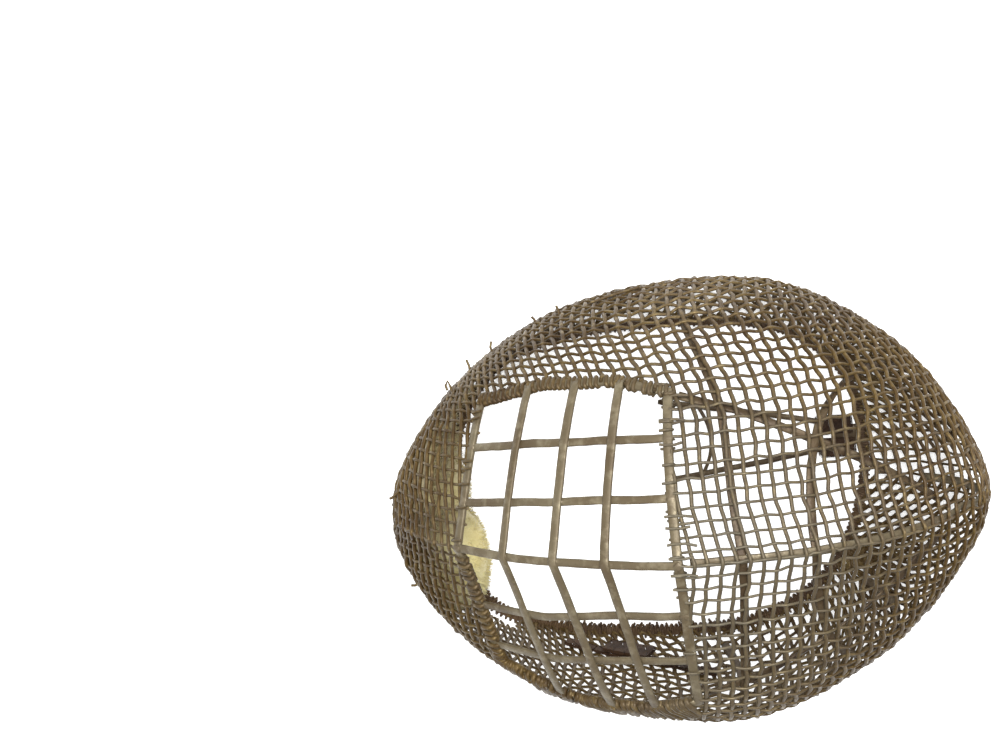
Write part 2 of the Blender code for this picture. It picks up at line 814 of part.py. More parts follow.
def build_side_band(group, finish):
    """Leather band and patch inside the left cheek."""
    top = net_wall + facet_room + clearance
    band = [(u, -cheek_band_share(u)) for u, w in line((cheek_band_start_u, 0), (cheek_band_end_u, 0), 12)]
    ribbon("cheek_band", band, band_width, top, group, finish, leather_wall)
    patch = [(u, -cheek_band_share(u) + cheek_patch_shift) for u, w in line((4.05, 0), (4.75, 0), 4)]
    ribbon("cheek_patch", patch, patch_width, top + leather_wall + clearance + patch_room, group, finish, leather_wall)


def build_chin_pad(group, finish):
    """Sheepskin pad that fills the inside of the chin, level across and round above and below."""
    outer, inner, faces = [], [], []
    across, down = 16, 7
    depth = net_wall + 3 * clearance
    for i in range(across + 1):
        turn = -1 + 2 * i / across
        side = -1 if turn < 0 else 1
        for j in range(down + 1):
            fall = j / down
            w = side * (chin_pad_top + (chin_pad_foot - chin_pad_top) * fall)
            back = layer_point(abs(turn) * chin_pad_reach, w, depth)
            front_x = chin_pad_front_x - chin_pad_hollow * (1 - math.cos(turn * math.pi / 2))
            push = Vector((1.0, -0.45 * turn, 0.0))
            swell = math.sin(math.pi * (0.10 + 0.80 * fall)) ** 0.7
            outer.append(back)
            inner.append(back + push * max(front_x - back.x, 0.0) * swell + push.normalized() * chin_pad_edge)
    for i in range(across):
        for j in range(down):
            a = i * (down + 1) + j
            faces.append([a, a + 1, a + down + 2, a + down + 1])
    mesh = thick_mesh("chin_pad", outer, inner, faces)
    return add_object("chin_pad", mesh, group, finish)


def stand_on_middle(parts, cutters):
    """Move every piece by one step, so that the origin lies under the middle of the mask."""
    places = [vertex.co for item in parts.objects for vertex in item.data.vertices]
    middle_x = (min(place.x for place in places) + max(place.x for place in places)) / 2
    middle_y = (min(place.y for place in places) + max(place.y for place in places)) / 2
    step = Matrix.Translation((-middle_x, -middle_y, 0.0))
    for item in list(parts.objects) + list(cutters.objects):
        item.data.transform(step)


def build():
    clear_scene()
    parts = make_collection("fencing_mask")
    cutters = make_collection("joined_pieces")
    wire = make_finish("rusted_wire")
    bronzed = make_finish("bronzed_steel")
    iron = make_finish("dark_iron")
    leather = make_finish("old_leather")
    wool = make_finish("fleece")

    add_object("wire_shell", wire_shell_mesh(), parts, wire)
    build_visor(parts, cutters, bronzed)
    build_rear_rim(parts, iron)
    build_ribs(parts, bronzed)
    build_tongue(parts, cutters, iron)
    build_tabs(parts, leather)
    build_side_band(parts, leather)
    build_chin_pad(parts, wool)
    stand_on_middle(parts, cutters)


build()
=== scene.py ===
import math
import random

import bmesh
import bpy
from mathutils import Matrix, Quaternion, Vector
from mathutils.bvhtree import BVHTree


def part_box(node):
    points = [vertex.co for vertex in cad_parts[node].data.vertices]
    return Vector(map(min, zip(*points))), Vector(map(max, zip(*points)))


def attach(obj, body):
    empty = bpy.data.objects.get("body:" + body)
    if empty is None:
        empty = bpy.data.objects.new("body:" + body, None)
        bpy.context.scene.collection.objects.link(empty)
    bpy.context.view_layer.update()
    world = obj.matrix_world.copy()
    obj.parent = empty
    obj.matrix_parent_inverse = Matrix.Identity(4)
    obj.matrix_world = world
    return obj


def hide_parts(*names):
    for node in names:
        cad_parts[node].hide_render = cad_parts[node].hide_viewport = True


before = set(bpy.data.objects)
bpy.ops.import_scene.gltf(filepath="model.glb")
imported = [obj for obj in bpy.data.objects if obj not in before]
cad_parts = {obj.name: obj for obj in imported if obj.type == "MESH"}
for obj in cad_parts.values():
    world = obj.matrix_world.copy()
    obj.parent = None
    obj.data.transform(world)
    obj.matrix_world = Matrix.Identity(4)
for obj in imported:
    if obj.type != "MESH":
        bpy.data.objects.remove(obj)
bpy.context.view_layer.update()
mm = 0.001
rng = random.Random(1887)

# everything is worked out round the rear rim's middle, and then moved on to the whole mask's middle
footStep = Vector((-0.0228177, -0.0061175, 0.0))

# camera: the face looks a little to the left and down of it
cameraSettings = {"away": 1.47, "toCamera": (0.20791, 0.23345, 0.94988), "right": (0.97751, -0.08475, -0.19313),
                  "up": (0.03541, 0.96867, -0.24581), "lens": 97.48, "sensor": 36.0, "nearest": 0.05,
                  "focalPixels": 2707.7, "originPixel": (660.0, 478.0), "imageMiddle": (500.0, 375.0)}


def newObject(name, data):
    item = bpy.data.objects.new(name, data)
    bpy.context.scene.collection.objects.link(item)
    return item


def makeCamera(s):
    toCamera = Vector(s["toCamera"])
    up = Vector(s["up"])
    forward = -toCamera * s["focalPixels"]
    forward += Vector(s["right"]) * (s["imageMiddle"][0] - s["originPixel"][0])
    forward += up * (s["originPixel"][1] - s["imageMiddle"][1])
    forward.normalize()
    side = forward.cross(up).normalized()
    turn = Matrix((side, side.cross(forward), -forward)).transposed()
    data = bpy.data.cameras.new("camera")
    data.lens = s["lens"]
    data.sensor_width = s["sensor"]
    data.clip_start = s["nearest"]
    camera = newObject("camera", data)
    camera.location = toCamera * s["away"] + footStep
    camera.rotation_mode = "QUATERNION"
    camera.rotation_quaternion = turn.to_quaternion()
    bpy.context.scene.camera = camera


makeCamera(cameraSettings)
print("camera set")


# shader maths: one socket with operators
class Sock:
    def __init__(self, tree, socket):
        self.tree = tree
        self.socket = socket

    def math(self, operation, first, second):
        return addNode(self.tree, "ShaderNodeMath", {"operation": operation}, in0=first, in1=second)

    def __add__(self, other):
        return self.math("ADD", self, other)

    __radd__ = __add__

    def __mul__(self, other):
        return self.math("MULTIPLY", self, other)

    __rmul__ = __mul__

    def __sub__(self, other):
        return self.math("SUBTRACT", self, other)

    def __rsub__(self, other):
        return self.math("SUBTRACT", other, self)

    def ramp(self, low, high):
        span = {"From Min": low, "From Max": high}
        return addNode(self.tree, "ShaderNodeMapRange", {"clamp": True}, Value=self, **span)


# a link, a colour or a number into one socket
def fillSocket(tree, socket, value):
    if isinstance(value, Sock):
        tree.links.new(value.socket, socket)
    elif socket.type == "RGBA":
        socket.default_value = (*value, 1.0)
    else:
        socket.default_value = value


# any node: settings first, then the values or links of its sockets (inN is socket N)
def addNode(tree, kind, settings=None, out=0, **inputs):
    node = tree.nodes.new(kind)
    for name, value in (settings or {}).items():
        setattr(node, name, value)
    for name, value in inputs.items():
        numbered = name.startswith("in") and name[2:].isdigit()
        fillSocket(tree, node.inputs[int(name[2:]) if numbered else name], value)
    return Sock(tree, node.outputs[out])


def plugAll(tree, shader, values):
    for name, value in values.items():
        fillSocket(tree, shader.inputs[name], value)


def mixColour(tree, factor, first, second):
    return addNode(tree, "ShaderNodeMix", {"data_type": "RGBA"}, out=2, in0=factor, in6=first, in7=second)


def noise(tree, place, scale, detail, rough=0.55):
    return addNode(tree, "ShaderNodeTexNoise", None, Vector=place, Scale=scale, Detail=detail, Roughness=rough)


def relief(tree, height, strength, depth):
    return addNode(tree, "ShaderNodeBump", None, Height=height, Strength=strength, Distance=depth)


# one of the place's three measures: 0, 1 or 2 for x, y or z
def measure(tree, place, axis):
    return addNode(tree, "ShaderNodeSeparateXYZ", None, out=axis, Vector=place)


def newMaterial(name):
    material = bpy.data.materials.new(name)
    material.use_nodes = True
    tree = material.node_tree
    shader = tree.nodes["Principled BSDF"]
    place = addNode(tree, "ShaderNodeTexCoord", out=3)
    return material, tree, shader, place


# old iron: brown patina, lighter worn spots, dark rust in patches; on the wires also a painted highlight, a lighter
# greyer colour over the top of the cage by height
def agedMetal(name, s):
    material, tree, shader, place = newMaterial(name)
    patches = noise(tree, place, s["patchScale"], 3.0).ramp(*s["patches"])
    fine = noise(tree, place, s["fineScale"], 5.0, 0.65)
    worn = noise(tree, place, s["wornScale"], 4.0, 0.6).ramp(*s["wear"])
    colour = mixColour(tree, patches, s["base"], s["rust"])
    colour = mixColour(tree, worn * s["wornShare"], colour, s["worn"])
    # painted highlight: the ridge colour is laid over the highest part of the cage, where the light falls on top
    if "ridge" in s:
        height = measure(tree, place, 2).ramp(*s["ridgeHeights"])
        colour = mixColour(tree, height * s["ridgeShare"], colour, s["ridge"])
    colour = mixColour(tree, fine.ramp(*s["dirt"]) * s["grimeShare"], colour, s["grime"])
    plugAll(tree, shader, {
        "Base Color": colour,
        "Roughness": s["rough"] + (fine - 0.5) * s["unevenRough"] - worn * s["wornRough"],
        "Metallic": s["metal"] + worn * s["wornMetal"] - patches * s["rustMetal"],
        "Specular IOR Level": s["specular"],
        "Normal": relief(tree, fine + worn * s["wornHeight"], s["bump"], s["bumpSize"])})
    return material


# what all the irons share, and then each one's own colours and sizes of pattern
ironSettings = {"patches": (0.36, 0.66), "wear": (0.50, 0.68), "dirt": (0.60, 0.78), "wornShare": 0.60,
                "rough": 0.50, "metal": 0.30, "unevenRough": 0.30, "wornRough": 0.08, "wornMetal": 0.12,
                "rustMetal": 0.10, "wornHeight": 0.3, "specular": 0.3}
# the wires' ridge colours are a painted highlight for the top of the cage, not a colour of the iron
wireSettings = dict(ironSettings, base=(0.072, 0.043, 0.012), rust=(0.042, 0.022, 0.005), worn=(0.172, 0.119, 0.043),
                    grime=(0.014, 0.008, 0.003), grimeShare=0.60, ridge=(0.098, 0.088, 0.064),
                    ridgeHeights=(0.11, 0.178), ridgeShare=0.6, patchScale=26.0, fineScale=900.0, wornScale=240.0,
                    bump=0.5, bumpSize=0.0004)
# the long wires get the same painted highlight on top, a little lighter
longSettings = dict(wireSettings, base=(0.078, 0.050, 0.016), worn=(0.178, 0.129, 0.053), ridge=(0.116, 0.110, 0.086))
barSettings = dict(ironSettings, base=(0.116, 0.093, 0.055), rust=(0.080, 0.058, 0.031), worn=(0.215, 0.182, 0.118),
                   grime=(0.040, 0.028, 0.016), grimeShare=0.55, patchScale=34.0, fineScale=700.0, wornScale=160.0,
                   bump=0.45, bumpSize=0.0005)
rimSettings = dict(ironSettings, base=(0.082, 0.048, 0.022), rust=(0.040, 0.021, 0.010), worn=(0.140, 0.094, 0.052),
                   grime=(0.018, 0.011, 0.006), grimeShare=0.45, wornShare=0.45, rough=0.60, metal=0.20,
                   patchScale=40.0, fineScale=800.0, wornScale=200.0, bump=0.6, bumpSize=0.0005)
ribIron = dict(barSettings, base=(0.076, 0.051, 0.026), rust=(0.040, 0.024, 0.012), worn=(0.140, 0.108, 0.064))
solderSettings = dict(barSettings, base=(0.110, 0.086, 0.054), worn=(0.21, 0.172, 0.115))
crossWireFinish = agedMetal("crossWireFinish", wireSettings)
longWireFinish = agedMetal("longWireFinish", longSettings)
barFinish = agedMetal("barFinish", barSettings)
rimFinish = agedMetal("rimFinish", rimSettings)
ribFinish = agedMetal("ribFinish", ribIron)
solderFinish = agedMetal("solderFinish", solderSettings)

oldHide = {"dark": (0.022, 0.010, 0.005), "light": (0.058, 0.029, 0.013), "dry": (0.090, 0.053, 0.027),
           "dryShare": 0.6, "patchScale": 60.0, "grainScale": 900.0, "creaseScale": 420.0, "rough": 0.62,
           "unevenRough": 0.35, "grain": 0.6, "bump": 0.6, "bumpSize": 0.0006, "specular": 0.2}
# the fleece's rust colour is painted shade, laid over its outer pile next to the wires
oldWool = {"pale": (0.76, 0.70, 0.38), "deep": (0.58, 0.49, 0.20), "shade": (0.46, 0.37, 0.14), "shadeShare": 0.5,
           "rust": (0.24, 0.18, 0.075), "rustShare": 0.8, "rustPlaces": (-0.126, -0.108), "stainScale": 45.0,
           "strandScale": 900.0, "rough": 0.92, "bump": 0.5, "bumpSize": 0.0008, "sheen": 0.25, "sheenRough": 0.5}


def leatherFinish(name, s):
    material, tree, shader, place = newMaterial(name)
    patches = noise(tree, place, s["patchScale"], 3.0).ramp(0.35, 0.68)
    cells = addNode(tree, "ShaderNodeTexVoronoi", {"feature": "DISTANCE_TO_EDGE"}, Vector=place,
                    Scale=s["grainScale"])
    creases = noise(tree, place, s["creaseScale"], 5.0, 0.7)
    colour = mixColour(tree, patches, s["dark"], s["light"])
    colour = mixColour(tree, creases.ramp(0.58, 0.74) * s["dryShare"], colour, s["dry"])
    plugAll(tree, shader, {
        "Base Color": colour,
        "Roughness": s["rough"] + (creases - 0.5) * s["unevenRough"],
        "Specular IOR Level": s["specular"],
        "Normal": relief(tree, cells.ramp(0.0, 0.09) * s["grain"] + creases, s["bump"], s["bumpSize"])})
    return material


def woolFinish(name, s):
    material, tree, shader, place = newMaterial(name)
    stain = noise(tree, place, s["stainScale"], 3.0).ramp(0.38, 0.68)
    strand = noise(tree, place, s["strandScale"], 3.0, 0.6)
    colour = mixColour(tree, stain, s["pale"], s["deep"])
    colour = mixColour(tree, strand.ramp(0.45, 0.75) * s["shadeShare"], colour, s["shade"])
    # painted shade: the outer pile, which lies next to the wires under the net, is darkened to a dull olive
    outer = 1 - measure(tree, place, 0).ramp(*s["rustPlaces"])
    colour = mixColour(tree, outer * s["rustShare"], colour, s["rust"])
    plugAll(tree, shader, {
        "Base Color": colour,
        "Roughness": s["rough"],
        "Sheen Weight": s["sheen"],
        "Sheen Roughness": s["sheenRough"],
        "Normal": relief(tree, strand, s["bump"], s["bumpSize"])})
    return material


oldLeather = leatherFinish("oldLeather", oldHide)
fleeceWool = woolFinish("fleeceWool", oldWool)
print("finishes made")

# the cage's own shape, the same numbers as the solids
cage = {"length": 0.318, "width": 0.230, "depth": 0.179, "rimLength": 0.230, "rimWidth": 0.173, "lean": 0.14,
        "reach": 0.50, "flank": 0.72, "tuckStart": 0.50, "tuckEnd": 0.55, "rimLift": 0.12, "widestAt": 0.75,
        "rimTop": 0.0033, "visorChin": 2.78, "visorBrow": 6.0, "visorHalf": 0.0840, "dentPress": 0.254,
        "dentDrift": 0.220}
# shares of the window's half width from chin to brow: right (1) and left (-1)
visorTapers = {1: (0.815, 0.95, 0.977, 0.93), -1: (0.84, 1.05, 1.04, 0.95)}
# ridge x z, fall, widest x y z, rim x y, dent of the left cheek
hoopTable = (
    (-0.396, 0.447, 72, -0.428, 0.000, 0.168, -0.513, 0.000, 0.00),
    (-0.362, 0.542, 50, -0.403, 0.287, 0.168, -0.491, 0.439, 0.05),
    (-0.302, 0.665, 34, -0.314, 0.609, 0.179, -0.409, 0.775, 0.13),
    (-0.228, 0.771, 24, -0.195, 0.843, 0.190, -0.287, 0.925, 0.20),
    (-0.110, 0.894, 20, -0.079, 0.948, 0.196, -0.157, 0.983, 0.26),
    (0.013, 0.961, 20, 0.031, 0.991, 0.207, -0.026, 1.000, 0.28),
    (0.138, 1.000, 20, 0.101, 1.000, 0.223, 0.078, 1.000, 0.27),
    (0.258, 0.955, 20, 0.195, 0.978, 0.240, 0.191, 0.977, 0.22),
    (0.362, 0.885, 22, 0.299, 0.870, 0.257, 0.306, 0.886, 0.14),
    (0.443, 0.779, 32, 0.425, 0.643, 0.291, 0.417, 0.655, 0.07),
    (0.503, 0.654, 46, 0.522, 0.330, 0.324, 0.472, 0.335, 0.02),
    (0.541, 0.525, 62, 0.572, 0.000, 0.346, 0.487, 0.000, 0.00),
)
lastHoop = len(hoopTable) - 1


def hoopSizes(row):
    shares = (cage["length"], cage["depth"], 1.0, cage["length"], cage["width"] / 2, cage["depth"],
              cage["rimLength"], cage["rimWidth"] / 2, cage["depth"])
    return [value * share for value, share in zip(row, shares)]


def hoopRow(index):
    if 0 <= index <= lastHoop:
        return hoopSizes(hoopTable[index])
    end, inner = (0, 1) if index < 0 else (lastHoop, lastHoop - 1)
    row, endRow = hoopSizes(hoopTable[inner]), hoopSizes(hoopTable[end])
    row[:3] = [2 * e - r for e, r in zip(endRow[:3], row[:3])]
    row[4], row[7] = -row[4], -row[7]
    return row


# a smooth line's place or number at a share t of the way from b to c
def between(a, b, c, d, t):
    return 0.5 * (2 * b + (c - a) * t + (2 * a - 5 * b + 4 * c - d) * t * t + (3 * b - a - 3 * c + d) * t ** 3)


def hoopAt(u):
    u = min(max(u, 0.0), float(lastHoop))
    first = min(int(u), lastHoop - 1)
    rows = [hoopRow(first + step) for step in (-1, 0, 1, 2)]
    return [between(a, b, c, d, u - first) for a, b, c, d in zip(*rows)]


def bezierPoint(points, t):
    a, b, c, d = points
    s = 1 - t
    return a * s ** 3 + b * (3 * s * s * t) + c * (3 * s * t * t) + d * t ** 3


# u is the hoop from chin to crown, w runs from the ridge (0) to the rim (1 right, -1 left)
def cagePoint(u, w):
    side = -1.0 if w < 0 else 1.0
    share = min(abs(w), 1.0)
    keelX, keelZ, fall, wideX, wideY, wideZ, rimX, rimY, dent = hoopAt(u)
    if side < 0:
        wideX += dent * cage["dentDrift"]
        wideY -= dent * cage["dentPress"]
        wideZ += dent
    keel, wide = Vector((keelX, 0, keelZ)), Vector((wideX, wideY, wideZ))
    rim = Vector((rimX, rimY, cage["rimTop"]))
    reach = cage["reach"]
    if share <= cage["widestAt"]:
        drop = math.tan(math.radians(fall)) * math.hypot(wideX - keelX, wideY) * reach
        leave = keel + Vector(((wideX - keelX) * reach, wideY * reach, -drop))
        arrive = wide + Vector((0, 0, cage["flank"] * (keelZ - wideZ)))
        place = bezierPoint((keel, leave, arrive, wide), share / cage["widestAt"])
    else:
        height = wideZ - rim.z
        leave = wide - Vector((0, 0, cage["tuckStart"] * height))
        arrive = rim + Vector(((wideX - rimX) * cage["tuckEnd"], (wideY - rimY) * cage["tuckEnd"],
                               cage["rimLift"] * height))
        place = bezierPoint((wide, leave, arrive, rim), (share - cage["widestAt"]) / (1 - cage["widestAt"]))
    place.y *= side
    place.x += cage["lean"] * place.y * (1 - place.z / cage["depth"])
    return place


def cageNormal(u, w):
    u = min(max(u, 0.03), lastHoop - 0.03)
    step = 0.004
    low = max(abs(w) - step, 0.0)
    high = min(abs(w) + step, 1.0)
    side = -1.0 if w < 0 else 1.0
    along = cagePoint(u + step, w) - cagePoint(u - step, w)
    across = (cagePoint(u, side * high) - cagePoint(u, side * low)) * side
    normal = along.cross(across)
    normal.normalize()
    if abs(w) < 1e-6:
        normal.y = 0.0
        normal.normalize()
    return normal


# a value between those that are given from the window's chin to its brow
def alongVisor(values, u):
    place = (u - cage["visorChin"]) / (cage["visorBrow"] - cage["visorChin"])
    place = min(max(place, 0.0), 1.0) * (len(values) - 1)
    low = min(int(place), len(values) - 2)
    return values[low] + (values[low + 1] - values[low]) * (place - low)


# the w of the window's edge at a hoop, by halving
def visorEdge(u, side=1):
    target = cage["visorHalf"] * alongVisor(visorTapers[side], u)
    near, far = 0.0, cage["widestAt"]
    for _ in range(24):
        middle = (near + far) / 2
        near, far = (middle, far) if abs(cagePoint(u, side * middle).y) < target else (near, middle)
    return (near + far) / 2


# the cage as one fine skin, with a skirt past the rim, that the wires are laid on
skinSettings = {"across": 48, "along": 110, "skirt": 3, "skirtStep": 0.012, "skirtSlope": 0.97}


def makeSkin(s):
    verts, faces = [], []
    half = s["across"] + s["skirt"]
    columns = 2 * half + 1
    for i in range(s["along"] + 1):
        u = lastHoop * i / s["along"]
        for number in range(-half, half + 1):
            side = -1.0 if number < 0 else 1.0
            share = abs(number) / s["across"]
            if share <= 1.0:
                verts.append(cagePoint(u, side * share))
            else:
                rim = cagePoint(u, side)
                slope = (rim - cagePoint(u, side * s["skirtSlope"])).normalized()
                verts.append(rim + slope * ((abs(number) - s["across"]) * s["skirtStep"]))
    for i in range(s["along"]):
        for j in range(columns - 1):
            a = i * columns + j
            faces.append((a, a + 1, a + columns + 1))
            faces.append((a, a + columns + 1, a + columns))
    return BVHTree.FromPolygons(verts, faces)


skin = makeSkin(skinSettings)
skinMiddle = Vector((0.02, 0.0, 0.06))


def skinNormal(place):
    hit, normal, _, _ = skin.find_nearest(place)
    return -normal if normal.dot(hit - skinMiddle) < 0 else normal


# ribs across the cage: the hoop at the ridge and at both rims, and the share that runs straight
crossRibs = {"brow": {"keel": 6.80, "rimRight": 4.80, "rimLeft": 6.55, "straight": 0.28, "foot": 0.97},
             "crown": {"keel": 7.80, "rimRight": 9.20, "rimLeft": 9.20, "straight": 0.0, "foot": 0.97}}


# the hoop that a cross rib passes at a share w of the way down
def ribHoop(rib, w, side):
    t = min(max((w - rib["straight"]) / (rib["foot"] - rib["straight"]), 0.0), 1.0)
    rimHoop = rib["rimRight"] if side > 0 else rib["rimLeft"]
    return rib["keel"] + (rimHoop - rib["keel"]) * t * t * (3 - 2 * t)


# the woven net: every cell keeps its side lengths and shears to fit; it starts under the brow rib
net = {"crossPitch": 6.7 * mm, "longPitch": 7.15 * mm, "cellSide": 6.9 * mm, "longCount": 36,
       "firstCross": 4.0 * mm, "pastRim": 6.0 * mm, "crossRadius": 1.00 * mm, "longRadius": 0.71 * mm,
       "crossCrimp": 0.35 * mm, "longCrimp": 0.60 * mm, "zigzag": 0.27 * mm, "longZigzag": 0.16 * mm,
       "ridgeZigzag": 0.35, "flankZigzag": 0.95, "flankReach": 0.09, "sunk": 1.0 * mm, "jitter": 0.20 * mm,
       "steps": 4, "leastAngle": 48.0, "rounds": 36, "pull": 0.25, "ease": 0.7, "tries": 10, "flattest": 0.05,
       "tailStep": 0.01, "shiftOver": 4, "rimClear": 0.2 * mm, "rimHeight": 22.0 * mm, "lowest": 2.6 * mm,
       "visorClear": 1.2 * mm, "visorLowest": 55.0 * mm}


def neighbours(items, closed):
    return list(zip(items, items[1:] + items[:1])) if closed else list(zip(items, items[1:]))


# three random steps, as one way
def anyWay():
    return Vector((rng.gauss(0, 1), rng.gauss(0, 1), rng.gauss(0, 1)))


# the rear rim's line seen from the front, as angles and lengths
rimRing = sorted((math.atan2(p.y, p.x), math.hypot(p.x, p.y))
                 for p in [cagePoint(lastHoop * k / 80, side) for k in range(81) for side in (1.0, -1.0)])


def rimRadius(x, y):
    angle = math.atan2(y, x)
    for (a, lengthA), (b, lengthB) in neighbours(rimRing, False):
        if a <= angle <= b:
            return lengthA + (lengthB - lengthA) * (angle - a) / max(b - a, 1e-9)
    return rimRing[0][1]


# how far a low place lies inside the rear rim's line
def insideRim(place):
    return rimRadius(place.x, place.y) - math.hypot(place.x, place.y) if place.z < net["rimHeight"] else -1.0


def evenlyAlong(points, pitch, start=0.0):
    places, left = [], start
    for a, b in neighbours(points, False):
        length = (b - a).length
        while left < length:
            places.append(a.lerp(b, left / length))
            left += pitch
        left -= length
    return places


def spinePlaces():
    down = [cagePoint(0.0, 1.0 - k / 60) for k in range(60)]
    along = [cagePoint(lastHoop * k / 260, 0.0) for k in range(261)]
    up = [cagePoint(float(lastHoop), (k + 1) / 60) for k in range(60)]
    return evenlyAlong(down + along + up, net["crossPitch"], net["firstCross"])


# the fourth corner of a cell: a step across from a, a step along from b
def corner(a, b, c):
    place = a + b - c
    for _ in range(net["tries"]):
        hit = skin.find_nearest(place)
        if hit[0] is None:
            return None
        place, normal = hit[0], hit[1]
        alongA, alongB = place - a, place - b
        lengthA, lengthB = alongA.length, alongB.length
        if lengthA < 1e-6 or lengthB < 1e-6:
            return None
        alongA /= lengthA
        alongB /= lengthB
        wantA, wantB = net["longPitch"] - lengthA, net["crossPitch"] - lengthB
        flatA = alongA - normal * alongA.dot(normal)
        flatB = alongB - normal * alongB.dot(normal)
        aa, ab, bb = flatA.dot(alongA), flatA.dot(alongB), flatB.dot(alongB)
        size = aa * bb - ab * ab
        if size < net["flattest"]:
            break
        place = place + flatA * ((wantA * bb - wantB * ab) / size) + flatB * ((wantB * aa - wantA * ab) / size)
    place = skin.find_nearest(place)[0]
    return place if insideRim(place) < net["pastRim"] and place.z > -net["pastRim"] else None


def layNet():
    spine = spinePlaces()
    startPlace = cagePoint(crossRibs["brow"]["keel"], 0.0)
    start = min(range(len(spine)), key=lambda k: (spine[k] - startPlace).length)
    grid = {(k, 0): place for k, place in enumerate(spine)}
    for side in (1, -1):
        hoopLine = [cagePoint(ribHoop(crossRibs["brow"], k / 90, side), side * k / 90) for k in range(91)]
        tail = (hoopLine[-1] - hoopLine[-3]).normalized()
        hoopLine += [hoopLine[-1] + tail * net["tailStep"] * k for k in range(1, 4)]
        shift = spine[start] - hoopLine[0]
        for j, place in enumerate(evenlyAlong(hoopLine, net["longPitch"])):
            if j:
                share = max(0.0, 1 - j / net["shiftOver"])
                grid[(start, side * j)] = skin.find_nearest(place + shift * share)[0]
        for way in (1, -1):
            k = start
            while (k + way, 0) in grid:
                for j in range(1, net["longCount"]):
                    a, b, c = (grid.get((k + way, side * (j - 1))), grid.get((k, side * j)),
                               grid.get((k, side * (j - 1))))
                    if a is None or b is None or c is None:
                        break
                    place = corner(a, b, c)
                    if place is None:
                        break
                    grid[(k + way, side * j)] = place
                k += way
    return grid, len(spine)


# draws two crossings together or apart, towards a length
def pull(grid, push, a, b, length):
    gap = grid[b] - grid[a]
    move = gap * ((gap.length - length) / max(gap.length, 1e-6) * net["pull"])
    push[a] += move
    push[b] -= move


# evens out what the laying left: both side lengths, and no cell sheared shut
def relaxNet(grid, rounds):
    shearLimit = 2 * math.sin(math.radians(net["leastAngle"]) / 2) * net["cellSide"]
    sides, shears = [], []
    for (i, j) in grid:
        for di, dj, length in ((1, 0, net["crossPitch"]), (0, 1, net["longPitch"])):
            if (i + di, j + dj) in grid:
                sides.append(((i, j), (i + di, j + dj), length))
        for dj in (1, -1):
            if (i + 1, j + dj) in grid:
                shears.append(((i, j), (i + 1, j + dj)))
    for _ in range(rounds):
        push = {key: Vector((0, 0, 0)) for key in grid}
        for a, b, length in sides:
            pull(grid, push, a, b, length)
        for a, b in shears:
            if (grid[b] - grid[a]).length < shearLimit:
                pull(grid, push, a, b, shearLimit)
        for key in grid:
            place = skin.find_nearest(grid[key] + push[key] * net["ease"])[0]
            if key[1] == 0:
                place.y = 0.0
            grid[key] = place
    return grid


grid, crossCount = layNet()
grid = relaxNet(grid, net["rounds"])
print("net laid:", len(grid), "crossings")

for place in grid.values():
    place += anyWay() * net["jitter"]


# the visor's frame: up the right side, across the brow, down the left side, back across the chin
def visorRing(steps):
    chin, brow = cage["visorChin"], cage["visorBrow"]
    hoops = [chin + (brow - chin) * k / steps for k in range(steps + 1)]
    half = steps // 2
    places = [(u, visorEdge(u)) for u in hoops]
    places += [(brow, visorEdge(brow) * (1 - k / half)) for k in range(1, half)]
    places += [(brow, -visorEdge(brow, -1) * k / half) for k in range(half)]
    places += [(u, -visorEdge(u, -1)) for u in reversed(hoops)]
    places += [(chin, -visorEdge(chin, -1) * (1 - k / half)) for k in range(1, half)]
    places += [(chin, visorEdge(chin) * k / half) for k in range(half)]
    return places


# the visor's outline seen from the front, a little outside its frame
def visorOutline(margin):
    edge = [cagePoint(u, w) for u, w in visorRing(12)]
    middle = sum(edge, Vector((0, 0, 0))) / len(edge)
    return [p + (p - middle).normalized() * margin for p in edge]


visorLoop = visorOutline(net["visorClear"])


def inVisor(place):
    if place.z < net["visorLowest"]:
        return False
    inside = False
    for a, b in neighbours(visorLoop, True):
        if (a.y > place.y) != (b.y > place.y):
            if place.x < a.x + (b.x - a.x) * (place.y - a.y) / (b.y - a.y):
                inside = not inside
    return inside


def cutAway(place):
    return inVisor(place) or insideRim(place) > -net["rimClear"] or place.z < net["lowest"]


# one wire over and under its neighbours: up is 1 where it lies on top at its first crossing
def wavyPath(nodes, up, crimp, zigzag, ways):
    path = []
    for k in range(len(nodes) - 1):
        before, after = nodes[max(k - 1, 0)], nodes[min(k + 2, len(nodes) - 1)]
        for step in range(net["steps"]):
            t = step / net["steps"]
            place = between(before, nodes[k], nodes[k + 1], after, t)
            wave = math.cos(math.pi * t) * up * (-1) ** k
            normal = skinNormal(place)
            aside = ways[k] - normal * ways[k].dot(normal)
            flank = net["flankZigzag"] * min(abs(place.y) / net["flankReach"], 1.0)
            sway = zigzag * wave * (net["ridgeZigzag"] + flank)
            path.append((place, normal * (crimp * wave - net["sunk"]) + aside.normalized() * sway))
    path.append((nodes[-1], skinNormal(nodes[-1]) * -net["sunk"]))
    return path


# the last place outside the visor and the rim on the way in, by halving
def atCut(inside, outside):
    for _ in range(5):
        middle = (inside + outside) / 2
        inside, outside = (middle, outside) if cutAway(middle) else (inside, middle)
    return outside


# keeps the stretches outside the visor and the rim; ends holds where each one was cut
def clipped(path, ends, crossing):
    runs, run = [], []
    for k, (place, shift) in enumerate(path):
        before, beforeShift = path[k - 1] if k else (place, shift)
        if cutAway(place):
            if run:
                run.append(atCut(place, before) + beforeShift)
                ends.append((run[-1], inVisor(place), crossing))
                runs.append(run)
                run = []
            continue
        if not run and k:
            run.append(atCut(before, place) + shift)
            ends.append((run[0], inVisor(before), crossing))
        run.append(place + shift)
    return [r for r in runs + [run] if len(r) > 2]


